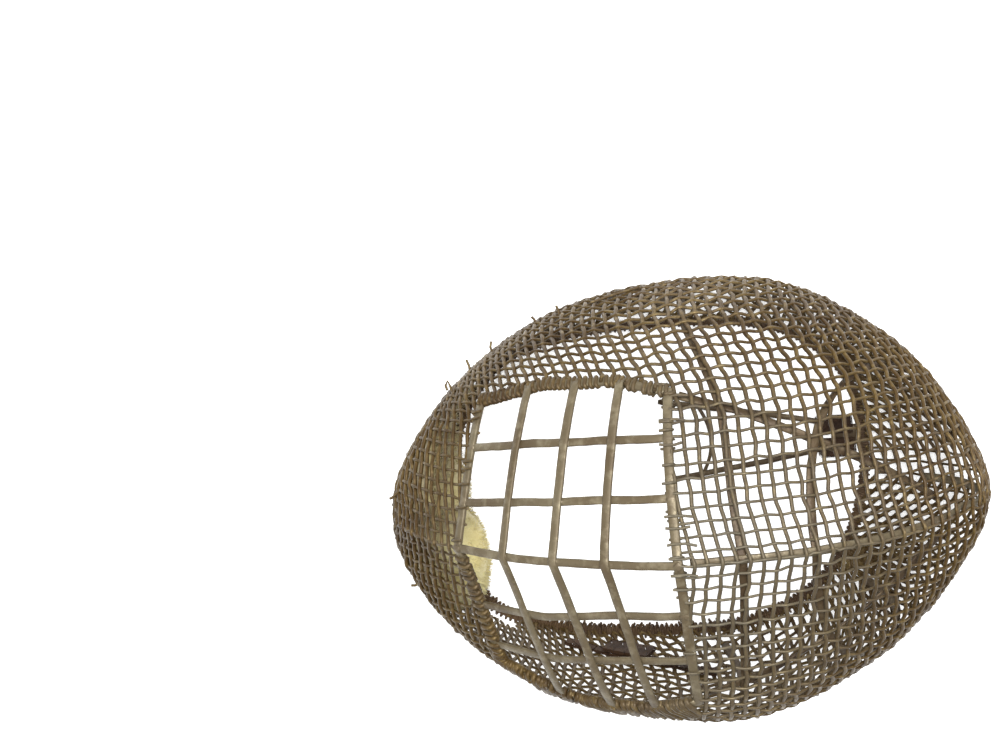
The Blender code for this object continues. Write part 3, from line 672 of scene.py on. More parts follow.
# the unbroken stretches of one row of crossings
def contiguous(keys):
    run, runs = [], []
    for key in keys:
        if key in grid:
            run.append(key)
        elif run:
            runs.append(run)
            run = []
    return [r for r in runs + [run] if len(r) > 1]


# the way across a wire at a crossing, from its neighbours on both sides
def step(key, di, dj):
    ahead, behind = grid.get((key[0] + di, key[1] + dj)), grid.get((key[0] - di, key[1] - dj))
    return (ahead or grid[key]) - (behind or grid[key])


# all the wires of one direction, over and under the other's; crossing is true for those that run across
def layWires(lines, crossing, ends):
    first = 1 if crossing else -1
    crimp, zigzag = (net["crossCrimp"], net["zigzag"]) if crossing else (net["longCrimp"], net["longZigzag"])
    runs = []
    for line in lines:
        for keys in contiguous(line):
            ways = [step(key, 1, 0) if crossing else step(key, 0, 1) for key in keys]
            up = first if sum(keys[0]) % 2 == 0 else -first
            runs += clipped(wavyPath([grid[key] for key in keys], up, crimp, zigzag, ways), ends, crossing)
    return runs


cutEnds = []
longRows = range(-net["longCount"], net["longCount"] + 1)
crossRuns = layWires([[(i, j) for j in longRows] for i in range(crossCount)], True, cutEnds)
longRuns = layWires([[(i, j) for i in range(crossCount)] for j in longRows], False, cutEnds)
print("wires:", len(crossRuns), "cross runs,", len(longRuns), "long runs,", len(cutEnds), "ends")


# a finished mesh becomes a piece; all but the solids' own forms are still centred on the rim
def addPiece(name, mesh, finish, replaced, fromRim=True):
    if fromRim:
        mesh.transform(Matrix.Translation(footStep))
    piece = newObject(name, mesh)
    mesh.materials.clear()
    mesh.materials.append(finish)
    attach(piece, "root")
    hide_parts(*replaced)
    return piece


# round wires through runs of points, as one mesh; taper gives a run's share of the radius at each point
def wireMesh(name, runs, radius, taper=None):
    curve = bpy.data.curves.new(name, "CURVE")
    curve.dimensions = "3D"
    curve.bevel_depth = radius
    curve.bevel_resolution = 1
    curve.use_fill_caps = True
    curve.twist_mode = "MINIMUM"
    for run in runs:
        spline = curve.splines.new("POLY")
        spline.points.add(len(run) - 1)
        for point, place in zip(spline.points, run):
            point.co = (*place, 1.0)
        if taper:
            for point, size in zip(spline.points, taper(run)):
                point.radius = size
    holder = newObject(name, curve)
    mesh = bpy.data.meshes.new_from_object(holder.evaluated_get(bpy.context.evaluated_depsgraph_get()))
    bpy.data.objects.remove(holder, do_unlink=True)
    for face in mesh.polygons:
        face.use_smooth = True
    mesh.name = name
    return mesh


def addWires(name, runs, radius, finish, taper=None):
    addPiece(name, wireMesh(name, runs, radius, taper), finish, ("wire_shell",))


def splitRuns(runs, test):
    return [r for r in runs if test(r[len(r) // 2])], [r for r in runs if not test(r[len(r) // 2])]


# the wires get thicker down the flanks and towards the chin, where the rust is heavier
swellSettings = {"flank": 0.18, "flankReach": 0.09, "flankPower": 1.5, "chin": 0.20, "chinFrom": 0.085,
                 "chinReach": 0.04, "crownFrom": 0.03}


def flankSwell(run):
    s = swellSettings
    return [1.0 + s["flank"] * min(abs(p.y) / s["flankReach"], 1.0) ** s["flankPower"]
            + s["chin"] * min(max((-p.x - s["chinFrom"]) / s["chinReach"], 0.0), 1.0) for p in run]


crownCross, chinCross = splitRuns(crossRuns, lambda middle: middle.x > swellSettings["crownFrom"])
rightLong, leftLong = splitRuns(longRuns, lambda middle: middle.y > 0.0)
addWires("crossWiresCrown", crownCross, net["crossRadius"], crossWireFinish, flankSwell)
addWires("crossWiresChin", chinCross, net["crossRadius"], crossWireFinish, flankSwell)
addWires("longWiresRight", rightLong, net["longRadius"], longWireFinish, flankSwell)
addWires("longWiresLeft", leftLong, net["longRadius"], longWireFinish, flankSwell)
print("woven wires made")


# a cosine or sine drawn towards a box: power 1 is round and less is squarer
def boxed(value, power):
    return math.copysign(abs(value) ** power, value)


# four-sided faces over rings of points that follow each other
def joinLoops(body, loops, closed=False):
    for first, second in neighbours(loops, closed):
        for n in range(len(first)):
            after = (n + 1) % len(first)
            body.faces.new((first[n], first[after], second[after], second[n]))


# a bent strip with rounded edges through places; widths and thicknesses are given at each place
def sweep(body, places, normals, widths, thicks, turns=None, closed=False, square=0.5):
    loops = []
    sides = 10
    count = len(places)
    for k in range(count):
        before = places[k - 1] if closed or k else places[0]
        after = places[(k + 1) % count] if closed or k < count - 1 else places[-1]
        ahead = (after - before).normalized()
        normal = (normals[k] - ahead * normals[k].dot(ahead)).normalized()
        aside = ahead.cross(normal)
        if turns:
            aside, normal = (aside * math.cos(turns[k]) + normal * math.sin(turns[k]),
                             normal * math.cos(turns[k]) - aside * math.sin(turns[k]))
        loop = []
        for n in range(sides):
            angle = 2 * math.pi * (n + 0.5) / sides
            wide = boxed(math.cos(angle), square) * widths[k] / 2
            thick = boxed(math.sin(angle), square) * thicks[k] / 2
            loop.append(body.verts.new(places[k] + aside * wide + normal * thick))
        loops.append(loop)
    joinLoops(body, loops, closed)
    if not closed:
        body.faces.new(loops[0][::-1])
        body.faces.new(loops[-1])


def finishBody(body, name, smooth=True):
    bmesh.ops.recalc_face_normals(body, faces=body.faces)
    mesh = bpy.data.meshes.new(name)
    body.to_mesh(mesh)
    body.free()
    for face in mesh.polygons:
        face.use_smooth = smooth
    return mesh


# slow unevenness along a bar: a few summed waves
def uneven(count, size):
    phases = [rng.uniform(0, 6.28) for _ in range(3)]
    return [size * (math.sin(k / 9.0 * 2.1 + phases[0]) + 0.6 * math.sin(k / 9.0 * 5.3 + phases[1])
                    + 0.4 * math.sin(k / 9.0 * 11.0 + phases[2])) / 2.0 for k in range(count)]


# low relief over a surface: a few crossed waves
def turbulence(place):
    return (math.sin(place.x * 1.3 + 2.1 * math.sin(place.y))
            + math.sin(place.y * 1.7 + 1.3 * math.sin(place.z + place.x))
            + math.sin(place.z * 1.9 + 1.7 * math.sin(place.x * 0.7))) / 3.0


# one flat bar on the cage through (u, w) places; depth is its middle below the cage's outer face
def layBar(body, corners, s, depth, turns=None, closed=False, perCorner=5):
    places, normals = [], []
    for (u0, w0), (u1, w1) in neighbours(corners, closed):
        for k in range(perCorner):
            t = k / perCorner
            u, w = u0 + (u1 - u0) * t, w0 + (w1 - w0) * t
            normals.append(cageNormal(u, w))
            places.append(cagePoint(u, w) - normals[-1] * depth)
    if not closed:
        normals.append(cageNormal(*corners[-1]))
        places.append(cagePoint(*corners[-1]) - normals[-1] * depth)
    count = len(places)
    sway = uneven(count, s["sway"])
    for k in range(1, count - 1):
        ahead = (places[k + 1] - places[k - 1]).normalized()
        places[k] = places[k] + ahead.cross(normals[k]) * sway[k]
    widths = [s["width"] * (1 + x) for x in uneven(count, s["rough"])]
    thicks = [s["thick"] * (1 + x) for x in uneven(count, s["rough"])]
    if turns is not None:
        turns = [turns(k / (count - 1)) for k in range(count)]
    sweep(body, places, normals, widths, thicks, turns, closed)


# rear rim: an iron core wound with wire
rimCoil = {"ringSteps": 60, "inset": 1.0 * mm, "coreWidth": 4.4 * mm, "coreHeight": 1.3 * mm, "middle": 2.05 * mm,
           "halfWidth": 2.45 * mm, "halfHeight": 1.25 * mm, "box": 0.7, "wire": 0.66 * mm, "pitch": 2.7 * mm,
           "turnPoints": 10, "leftSwell": 0.45, "leftReach": 0.07, "nubPitch": 5.5 * mm, "nubHeight": 0.6 * mm,
           "nubsPast": -0.035}


def rimLine(steps, inset):
    places = [cagePoint(lastHoop * k / steps, 1.0) for k in range(steps)]
    places += [cagePoint(lastHoop * (1 - k / steps), -1.0) for k in range(steps)]
    inward = [Vector((-p.x, -p.y, 0)).normalized() * inset for p in places]
    return [Vector((p.x + q.x, p.y + q.y, 0.0)) for p, q in zip(places, inward)]


# the place and the way ahead at a distance along a closed line
def ringAt(ring, lengths, at):
    at %= lengths[-1]
    low = 0
    high = len(lengths) - 1
    while high - low > 1:
        middle = (low + high) // 2
        low, high = (middle, high) if lengths[middle] <= at else (low, middle)
    a, b = ring[low % len(ring)], ring[(low + 1) % len(ring)]
    t = (at - lengths[low]) / max(lengths[low + 1] - lengths[low], 1e-9)
    return a.lerp(b, t), (b - a).normalized()


def ringLengths(ring):
    lengths = [0.0]
    for a, b in neighbours(ring, True):
        lengths.append(lengths[-1] + (b - a).length)
    return lengths


def rimCore(s, ring, lengths):
    body = bmesh.new()
    loops = []
    for k in range(len(ring)):
        place, ahead = ringAt(ring, lengths, lengths[-1] * k / len(ring))
        out = Vector((ahead.y, -ahead.x, 0)) * (s["coreWidth"] / 2)
        up = Vector((0, 0, s["coreHeight"] / 2))
        middle = place + Vector((0, 0, s["middle"]))
        loops.append([body.verts.new(middle + out * a + up * b) for a, b in ((-1, -1), (1, -1), (1, 1), (-1, 1))])
    joinLoops(body, loops, closed=True)
    addPiece("rimCore", finishBody(body, "rimCore", smooth=False), rimFinish, ("rear_rim",))


def rimTurns(s, ring, lengths):
    turns = int(lengths[-1] / s["pitch"])
    path = []
    for turn in range(turns):
        if rng.random() < 0.12:
            rng.uniform(0.75, 1.3)  # this draw and the one above only keep the order of the rest
        lean = rng.uniform(-0.25, 0.25) * mm
        for point in range(s["turnPoints"]):
            share = (turn + point / s["turnPoints"]) / turns
            angle = 2 * math.pi * point / s["turnPoints"]
            place, ahead = ringAt(ring, lengths, lengths[-1] * share + lean * math.sin(angle))
            out = Vector((ahead.y, -ahead.x, 0))
            swell = 1 + s["leftSwell"] * min(max(-place.y / s["leftReach"], 0.0), 1.0) + rng.uniform(0.0, 0.06)
            wide = s["halfWidth"] * swell * boxed(math.cos(angle), s["box"])
            high = s["halfHeight"] * boxed(math.sin(angle), s["box"])
            path.append(place + out * wide + Vector((0, 0, s["middle"] + high)))
    return path


# wire ends cut off just inside the left run
def rimNubs(s, ring, lengths):
    runs = []
    at = 0.0
    while at < lengths[-1]:
        place, ahead = ringAt(ring, lengths, at)
        at += s["nubPitch"] * rng.uniform(0.5, 1.6)
        if place.y < s["nubsPast"]:
            inward = Vector((-place.x, -place.y, 0)).normalized()
            start = place + inward * s["halfWidth"] * 0.8 + Vector((0, 0, s["middle"] + s["nubHeight"]))
            way = inward + ahead * rng.uniform(-0.5, 0.5) + Vector((0, 0, rng.uniform(0.0, 0.6)))
            runs.append([start, start + way * rng.uniform(1.2, 2.0) * mm, start + way * rng.uniform(2.6, 4.2) * mm])
    return runs


def makeRim(s):
    ring = rimLine(s["ringSteps"], s["inset"])
    lengths = ringLengths(ring)
    rimCore(s, ring, lengths)
    runs = [rimTurns(s, ring, lengths)] + rimNubs(s, ring, lengths)
    addPiece("rimWinding", wireMesh("rimWinding", runs, s["wire"]), rimFinish, ("rear_rim",))


makeRim(rimCoil)
print("rim wound")

# the visor: a flat frame, three cross bars over five long bars, soldered where they cross
visorBars = {"crossHoops": (3.62, 4.36, 5.06), "frameDepth": 1.3 * mm, "crossDepth": 0.1 * mm,
             "longDepth": 1.6 * mm,
             "frame": {"width": 4.8 * mm, "thick": 2.6 * mm, "sway": 0.08 * mm, "rough": 0.03},
             "cross": {"width": 4.6 * mm, "thick": 2.0 * mm, "sway": 0.20 * mm, "rough": 0.05},
             "long": {"width": 4.2 * mm, "thick": 2.0 * mm, "sway": 0.16 * mm, "rough": 0.05},
             "longRows": ((0.0, 0.0, 0.0, 0.0), (0.285, 0.305, 0.330, 0.370), (0.645, 0.630, 0.650, 0.710),
                          (-0.420, -0.315, -0.288, -0.315), (-0.770, -0.580, -0.565, -0.620)),
             "solder": (2.7 * mm, 2.5 * mm, 0.85 * mm), "solderDepth": 0.9 * mm, "frameSolderDepth": 0.7 * mm,
             "endSolderDepth": 0.4 * mm}


# the w of a long bar at a hoop, from its shares of the window's half width
def longBarW(row, u):
    return alongVisor(row, u) * visorEdge(u, -1 if row[0] < 0 else 1)


# a lump of solder on the cage at (u, w): its size is along, across and through the wall
def addSolder(body, u, w, depth, size):
    normal = cageNormal(u, w)
    place = cagePoint(u, w) - normal * depth
    ahead = (cagePoint(u + 0.05, w) - cagePoint(u - 0.05, w)).normalized()
    aside = normal.cross(ahead).normalized()
    blob = bmesh.ops.create_icosphere(body, subdivisions=2, radius=1.0)
    for vert in blob["verts"]:
        x, y, z = vert.co
        lump = 1 + 0.10 * math.sin(5 * x + place.x * 900) + 0.08 * math.sin(6 * y + place.y * 700)
        vert.co = place + (ahead * (x * size[0]) + aside * (y * size[1]) + normal * (z * size[2])) * lump


def makeGrille(s):
    bodies = {name: bmesh.new() for name in ("visorFrame", "visorCrossBars", "visorLongBars", "visorSolder")}
    layBar(bodies["visorFrame"], visorRing(20), s["frame"], s["frameDepth"], closed=True, perCorner=3)
    for u in s["crossHoops"]:
        right, left = visorEdge(u), -visorEdge(u, -1)
        line = [(u, right * (1 - k / 7)) for k in range(7)] + [(u, left * k / 7) for k in range(8)]
        layBar(bodies["visorCrossBars"], line, s["cross"], s["crossDepth"])
    chin, brow = cage["visorChin"], cage["visorBrow"]
    hoops = [chin + (brow - chin) * k / 12 for k in range(13)]
    for row in s["longRows"]:
        layBar(bodies["visorLongBars"], [(u, longBarW(row, u)) for u in hoops], s["long"], s["longDepth"])
        for u in (hoops[0], *s["crossHoops"], hoops[-1]):
            depth = s["frameSolderDepth"] if u in (hoops[0], hoops[-1]) else s["solderDepth"]
            size = [x * rng.uniform(0.85, 1.15) for x in s["solder"]]
            addSolder(bodies["visorSolder"], u, longBarW(row, u), depth, size)
    for u in s["crossHoops"]:
        for w in (visorEdge(u), -visorEdge(u, -1)):
            addSolder(bodies["visorSolder"], u, w, s["endSolderDepth"], s["solder"])
    for name, body in bodies.items():
        finish = solderFinish if name == "visorSolder" else barFinish
        addPiece(name, finishBody(body, name), finish, ("visor_grille",))


makeGrille(visorBars)
print("visor bars made")

# every wire end goes round the visor's frame and is cut off; "side" is in mm
wrapSettings = {"halfWidth": 2.75 * mm, "halfThick": 1.10 * mm, "box": 0.7, "drop": 1.3 * mm, "crossWire": 1.20 * mm,
                "longWire": 0.75 * mm, "turns": 2.25, "pitch": 3.1 * mm, "points": 10, "frontShare": 0.3,
                "frontLevel": 0.75 * mm, "backLevel": -3.2 * mm, "side": 2.9, "upright": 0.75}
underSettings = dict(wrapSettings, halfWidth=3.4 * mm, halfThick=1.60 * mm)
# the skirt's distances are in mm: out from the frame's middle, and over the cage
windingSettings = dict(wrapSettings, crossWire=1.35 * mm, halfWidth=3.05 * mm, halfThick=1.60 * mm,
                       turnPitch=2.0 * mm, skirtHoops=(5.85, 3.15), skirtPitch=3.4 * mm, skirtReach=11.0,
                       skirtSteps=(3.6, 6.0, 8.5), skirtLift=0.5,
                       skirtRoot=((-2.9, -2.4), (-3.1, -0.4), (-1.6, 0.6), (1.6, 0.7)), chinCorner=-0.42,
                       chinEnd=-0.015, turnsOf=(1.0, 1.3), turnStart=(2.6, 3.6))
visorPlaces = visorRing(40)
visorPoints = [cagePoint(u, w) for u, w in visorPlaces]
visorNormals = [cageNormal(u, w) for u, w in visorPlaces]
visorLengths = ringLengths(visorPoints)
visorMiddle = sum(visorPoints, Vector((0, 0, 0))) / len(visorPoints)


def nearestPoint(place):
    return min(range(len(visorPoints)), key=lambda n: (visorPoints[n] - place).length)


def nearestOnFrame(place):
    return visorLengths[nearestPoint(place)]


def leftOfFrame(u):
    return nearestOnFrame(cagePoint(u, -visorEdge(u, -1)))


# place, way ahead, way aside and way out at a distance along the frame
def frameAxes(at):
    place, ahead = ringAt(visorPoints, visorLengths, at)
    normal = visorNormals[nearestPoint(place)]
    return place, ahead, normal.cross(ahead).normalized(), normal


# turns of wire round the frame from one spot; angle 0 is on the side that aside points to
def wrapRun(at, turns, s, pitch, phase):
    run = []
    count = max(int(turns * s["points"]), 4)
    swell = rng.uniform(1.0, 1.10)
    for k in range(count + 1):
        turn = turns * k / count
        place, _, aside, normal = frameAxes(at + pitch * turn)
        angle = phase + 2 * math.pi * turn
        wide = s["halfWidth"] * boxed(math.cos(angle), s["box"]) * swell
        thick = s["halfThick"] * boxed(math.sin(angle), s["box"]) * swell
        run.append(place + aside * wide + normal * (thick - s["drop"]))
    return run


# cross ends are wound round the upright sides; the others are bent over, most of them behind the frame
def makeWraps(s):
    crossWraps, longWraps = [], []
    for place, atVisor, crossing in cutEnds:
        if not atVisor:
            continue
        spot = nearestOnFrame(place)
        middle, along, aside, normal = frameAxes(spot)
        outward = -1.0 if aside.dot(visorMiddle - middle) > 0 else 1.0
        if crossing and abs(along.x) > s["upright"]:
            phase = 0.0 if outward > 0 else math.pi
            turns = s["turns"] * rng.uniform(0.85, 1.05)
            run = [place] + wrapRun(spot, turns, underSettings if place.y < 0 else s, s["pitch"], phase)
            run.append(run[-1] + (aside * outward * 0.8 + normal * 0.5).normalized() * rng.uniform(0.5, 1.8) * mm)
            crossWraps.append(run)
        else:
            over = aside * -outward
            reach = rng.uniform(2.9, 4.0) * mm
            level = s["frontLevel"] if rng.random() < s["frontShare"] else s["backLevel"]
            longWraps.append([place, middle - over * s["side"] * mm + normal * (level * 0.6), middle + normal * level,
                              middle + over * reach + normal * (level * 0.5)])
    return crossWraps, longWraps


# close winding over the lower left stretch of the frame and round the corner to the chin
def makeWinding(s):
    chin = cage["visorChin"]
    chinCorner, chinEnd = (nearestOnFrame(cagePoint(chin, w)) for w in (s["chinCorner"], s["chinEnd"]))
    runs = []
    # where each stretch starts and ends, and its millimetres to a turn
    for start, end, pitch in ((leftOfFrame(5.9), leftOfFrame(3.0), 4.6), (leftOfFrame(3.1), chinCorner, 2.25),
                              (chinCorner, chinEnd, 4.2)):
        count = int(abs(end - start) / (pitch * mm))
        for k in range(count):
            spot = start + (end - start) * (k + rng.uniform(-0.2, 0.2)) / count
            turns = rng.uniform(*s["turnsOf"])
            runs.append(wrapRun(spot, turns, s, s["turnPitch"], rng.uniform(*s["turnStart"])))
    # below the window the ends are drawn on down the cheek, side by side
    start, end = (leftOfFrame(u) for u in s["skirtHoops"])
    count = int(abs(end - start) / s["skirtPitch"])
    for k in range(count):
        place, ahead, aside, normal = frameAxes(start + (end - start) * (k + rng.uniform(-0.25, 0.25)) / count)
        outward = aside if aside.dot(visorMiddle - place) < 0 else -aside
        slant = ahead * rng.uniform(-0.25, 0.25)
        run = [place + outward * out * mm + normal * up * mm for out, up in s["skirtRoot"]]
        for far in (*s["skirtSteps"], s["skirtReach"] * rng.uniform(0.8, 1.1)):
            spot = skin.find_nearest(place + (outward + slant) * far * mm)[0]
            run.append(spot + skinNormal(spot) * s["skirtLift"] * mm)
        runs.append(run)
    return runs


crossWraps, longWraps = makeWraps(wrapSettings)
addWires("frameWraps", crossWraps, wrapSettings["crossWire"], crossWireFinish)
addWires("frameNubs", longWraps, wrapSettings["longWire"], longWireFinish)
addWires("frameWinding", makeWinding(windingSettings), windingSettings["crossWire"], crossWireFinish)
print("visor frame wrapped:", len(crossWraps), "cross ends,", len(longWraps), "long ends")

# loose ends: places on the cage with steps to the camera's right and up, in mm
strayDepth, splinterHeight, brokenHeight = 0.8, 0.9, 0.4
strays = ((0.8, 0.34, ((-2, -2), (-4, -4), (-5.5, -4.5))), (2.0, 0.60, ((-1, 3), (-2.5, 6), (-3.5, 3.5), (-2.5, 1))),
          (2.2, 0.66, ((-0.5, 3), (-2.0, 6.5))), (2.5, 0.68, ((-1, 3), (-0.5, 6.0))),
          (3.5, 0.68, ((-0.5, 2.5), (-1.5, 5.0))), (3.1, 0.70, ((-1, 2), (-2.4, 3.4))),
          (10.2, 0.60, ((1.5, 1.0), (3.2, 1.2))), (1.3, -0.52, ((-2, -1), (-4, -1))))
splinter = ((4.0, 0.68), (4.25, 0.695), (4.6, 0.72))
# ends cut off above the window: share of the way across, length and bend in mm
brokenEnds = ((0.30, 9.0, 0.4), (0.245, 7.0, -0.5), (0.10, 10.0, 0.3), (0.075, 8.0, -0.4), (0.045, 10.5, 0.6),
              (0.015, 7.0, -0.3), (-0.02, 9.0, 0.5), (-0.06, 6.0, -0.2))


def makeStrays():
    right, up = Vector(cameraSettings["right"]), Vector(cameraSettings["up"])
    runs = []
    for u, w, steps in strays:
        root = cagePoint(u, w) - cageNormal(u, w) * strayDepth * mm
        runs.append([root] + [root + right * (x * mm) + up * (y * mm) for x, y in steps])
    runs.append([cagePoint(u, w) + cageNormal(u, w) * splinterHeight * mm for u, w in splinter])
    brow = cage["visorBrow"]
    for w, length, bend in brokenEnds:
        normal = cageNormal(brow, w)
        root = cagePoint(brow, w) + normal * brokenHeight * mm
        ahead = (cagePoint(brow + 0.1, w) - cagePoint(brow, w)).normalized()
        aside = ahead.cross(normal)
        runs.append([root - ahead * 4.0 * mm + aside * bend * mm, root - ahead * 1.0 * mm,
                     root + ahead * length * 0.5 * mm, root + ahead * length * mm + aside * bend * 2 * mm])
    addWires("strayWires", runs, net["longRadius"], longWireFinish)


makeStrays()
print("loose ends laid")

# flat ribs under the wires, some of them twisted
ribSettings = {"width": 4.4 * mm, "thick": 1.6 * mm, "sway": 0.20 * mm, "rough": 0.06, "ridgeDepth": 5.0 * mm,
               "crossDepth": 4.6 * mm, "sideDepth": 6.3 * mm, "pastBrow": 0.14, "crossEnd": 0.93,
               "backShares": (0.15, 0.3, 0.45, 0.6, 0.7, 0.78, 0.86, 0.92), "sideBack": 0.9, "sideShare": 0.17,
               "crownTwist": (1.1, 0.73, 0.05), "sideTwist": (0.5, 9.0, -0.2)}
sideRibSettings = dict(ribSettings, width=4.2 * mm)


# one half of a cross rib, from the ridge down to one side
def crossRibHalf(rib, side):
    shares = [ribSettings["crossEnd"] * k / 14 for k in range(1, 15)]
    return [(ribHoop(rib, w, side), side * w) for w in shares]


# the crown rib turns over at one spot; the side ribs roll from side to side
def crownTwist(t):
    turn, at, length = ribSettings["crownTwist"]
    return turn * math.exp(-((t - at) / length) ** 2)


def sideTwist(t):
    turn, pace, rest = ribSettings["sideTwist"]
    return turn * math.sin(pace * t) + rest


def addRib(name, node, line, s, depth, finish, twist=None):
    body = bmesh.new()
    layBar(body, line, s, depth, twist)
    addPiece(name, finishBody(body, name), finish, (node,))


def makeRibs(s):
    first = cage["visorBrow"] + s["pastBrow"]
    ridge = [(first + (lastHoop - first) * k / 14, 0.0) for k in range(15)]
    back = [(float(lastHoop), w) for w in s["backShares"]]
    addRib("centreRib", "centre_rib", ridge + back, s, s["ridgeDepth"], barFinish)
    for name, node, rib, twist in (("browRib", "brow_rib", crossRibs["brow"], None),
                                   ("crownRib", "crown_rib", crossRibs["crown"], crownTwist)):
        line = crossRibHalf(rib, -1)[::-1] + [(rib["keel"], 0.0)] + crossRibHalf(rib, 1)
        addRib(name, node, line, s, s["crossDepth"], ribFinish, twist)
    endHoop, endShare = lastHoop - s["sideBack"], s["sideShare"]
    for side, name, node in ((1, "sideRibRight", "side_rib_right"), (-1, "sideRibLeft", "side_rib_left")):
        start = visorEdge(cage["visorBrow"], side)
        line = [(first + (endHoop - first) * k / 10, side * (start + (endShare - start) * k / 10))
                for k in range(11)]
        addRib(name, node, line, sideRibSettings, s["sideDepth"], ribFinish, sideTwist)


makeRibs(ribSettings)
print("ribs laid")

# spring fork: two thin prongs that spread from a root, a brace arc between them
forkSettings = {"side": 20.5 * mm, "spread": 44.0 * mm, "rootWidth": 8.0 * mm, "endX": 3.0 * mm, "braceX": 24.0 * mm,
                "braceBow": 6.0 * mm, "rootLength": 12.0 * mm, "height": 1.55 * mm, "spreadPower": 0.85,
                "wobble": 0.25 * mm, "prong": (3.0 * mm, 2.1 * mm), "tips": (3.3 * mm, 3.7 * mm, 2.2 * mm),
                "brace": (1.9 * mm, 1.6 * mm), "root": (11.0 * mm, 2.2 * mm)}


def makeFork(s, rootX):
    body = bmesh.new()

    def spreadAt(share):
        return s["rootWidth"] / 2 + (s["spread"] - s["rootWidth"]) / 2 * max(share, 0.0) ** s["spreadPower"]

    def lay(places, size, square, tips=()):
        count = len(places)
        widths = [size[0]] * (count - len(tips)) + list(tips)
        sweep(body, places, [Vector((0, 0, 1))] * count, widths, [size[1]] * count, square=square)

    startX = rootX - s["rootLength"] * 0.5
    for side in (1, -1):
        places = [Vector((startX + (s["endX"] - startX) * k / 30, s["side"] + side * spreadAt(k / 30), s["height"]))
                  for k in range(31)]
        places = [p + Vector((0, x, 0)) for p, x in zip(places, uneven(31, s["wobble"]))]
        lay(places, s["prong"], 0.7, s["tips"])
    reach = spreadAt((s["braceX"] - rootX) / (s["endX"] - rootX))
    lay([Vector((s["braceX"] + s["braceBow"] * (1 - (k / 8 - 1) ** 2), s["side"] + reach * (k / 8 - 1), s["height"]))
         for k in range(17)], s["brace"], 0.8)
    lay([Vector((rootX - s["rootLength"] * (1 - k / 6), s["side"], s["height"])) for k in range(7)], s["root"], 0.4)
    addPiece("springFork", finishBody(body, "springFork"), ribFinish, ("spring_tongue",))


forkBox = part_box("spring_tongue")
makeFork(forkSettings, forkBox[1][0] - footStep.x)
print("fork made")

# old leather: the solid's own form with rounded, worn and slightly curled edges
leatherSettings = {"cell": 1.6 * mm, "smooth": 0.25, "roughScale": 260.0, "rough": 0.25 * mm, "waveScale": 90.0,
                   "wave": 0.35 * mm}


def wornLeather(name, nodeName, s):
    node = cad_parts[nodeName]
    body = bmesh.new()
    body.from_mesh(node.data)
    bmesh.ops.triangulate(body, faces=body.faces)
    for _ in range(5):
        tooLong = [edge for edge in body.edges if edge.calc_length() > s["cell"]]
        if not tooLong:
            break
        bmesh.ops.subdivide_edges(body, edges=tooLong, cuts=1)
        bmesh.ops.triangulate(body, faces=body.faces)
    for _ in range(2):
        bmesh.ops.smooth_vert(body, verts=body.verts, factor=s["smooth"], use_axis_x=True, use_axis_y=True,
                              use_axis_z=True)
    body.normal_update()
    for vert in body.verts:
        rough = turbulence(vert.co * s["roughScale"]) * s["rough"] + turbulence(vert.co * s["waveScale"]) * s["wave"]
        vert.co += vert.normal * rough
    addPiece(name, finishBody(body, name), oldLeather, (nodeName,), fromRim=False)


for leatherName, leatherNode in (("leatherTabRight", "leather_tab_right"), ("leatherTabLeft", "leather_tab_left"),
                                 ("cheekBand", "cheek_band"), ("cheekPatch", "cheek_patch")):
    wornLeather(leatherName, leatherNode, leatherSettings)
print("leather made")

# sheepskin chin pad: a hide backing with curved locks of wool all over its open side
# a lump is its size, its place from the left end (-1) to the right end (1), and its width there
fleeceSettings = {"across": 28, "down": 14, "reach": 1.75, "top": 0.14, "foot": 0.88, "frontX": -84.0 * mm,
                  "hollow": 12.0 * mm, "rightBack": 26.0 * mm,
                  "lumps": ((9.0 * mm, -0.85, 0.30), (-13.0 * mm, 0.0, 0.28)), "back": 2.9 * mm, "edge": 2.0 * mm,
                  "locks": 7000, "lockLength": 3.5 * mm, "lockRadius": 0.42 * mm, "lockRoot": 0.5,
                  "spread": 0.35, "swirl": 1.1, "hang": (0.1, -0.25, -0.3)}


# the hide's places on the shell, and the fleece's places over them, from left to right
def fleeceGrid(s):
    outer, inner = [], []
    for i in range(s["across"] + 1):
        turn = -1 + 2 * i / s["across"]
        side = -1 if turn < 0 else 1
        front = s["frontX"] - s["hollow"] * (1 - math.cos(turn * math.pi / 2))
        front -= s["rightBack"] * max(turn, 0.0) ** 1.3
        for size, at, wide in s["lumps"]:
            front += size * math.exp(-((turn - at) / wide) ** 2)
        push = Vector((1.0, -0.45 * turn, 0.0))
        for j in range(s["down"] + 1):
            fall = j / s["down"]
            w = side * (s["top"] + (s["foot"] - s["top"]) * fall)
            u = abs(turn) * s["reach"]
            place = cagePoint(u, w) - cageNormal(u, w) * s["back"]
            swell = math.sin(math.pi * (0.10 + 0.80 * fall)) ** 0.7
            outer.append(place)
            inner.append(place + push * max(front - place.x, 0.0) * swell + push.normalized() * s["edge"])
    return outer, inner


# one lock of wool: a thin cone that curls to one side
def addLock(body, root, ahead, s):
    length = s["lockLength"] * rng.uniform(0.6, 1.15)
    side = ahead.orthogonal().normalized()
    side.rotate(Quaternion(ahead, rng.uniform(0, 2 * math.pi)))
    curl = side * rng.uniform(0.8, 2.0)
    aside = ahead.cross(side).normalized()
    loops = []
    for k in range(4):
        t = k / 4
        middle = root + ahead * (length * t) + curl * (length * t * t * 0.5)
        radius = s["lockRadius"] * (1 - 0.75 * t) * rng.uniform(0.85, 1.15)
        loops.append([body.verts.new(middle + (side * math.cos(a) + aside * math.sin(a)) * radius)
                      for a in (0.0, 2.09, 4.19)])
    tip = body.verts.new(root + ahead * length + curl * (length * 0.5))
    joinLoops(body, loops)
    for a, b in neighbours(loops[-1], True):
        body.faces.new((a, b, tip))
    body.faces.new(loops[0][::-1])


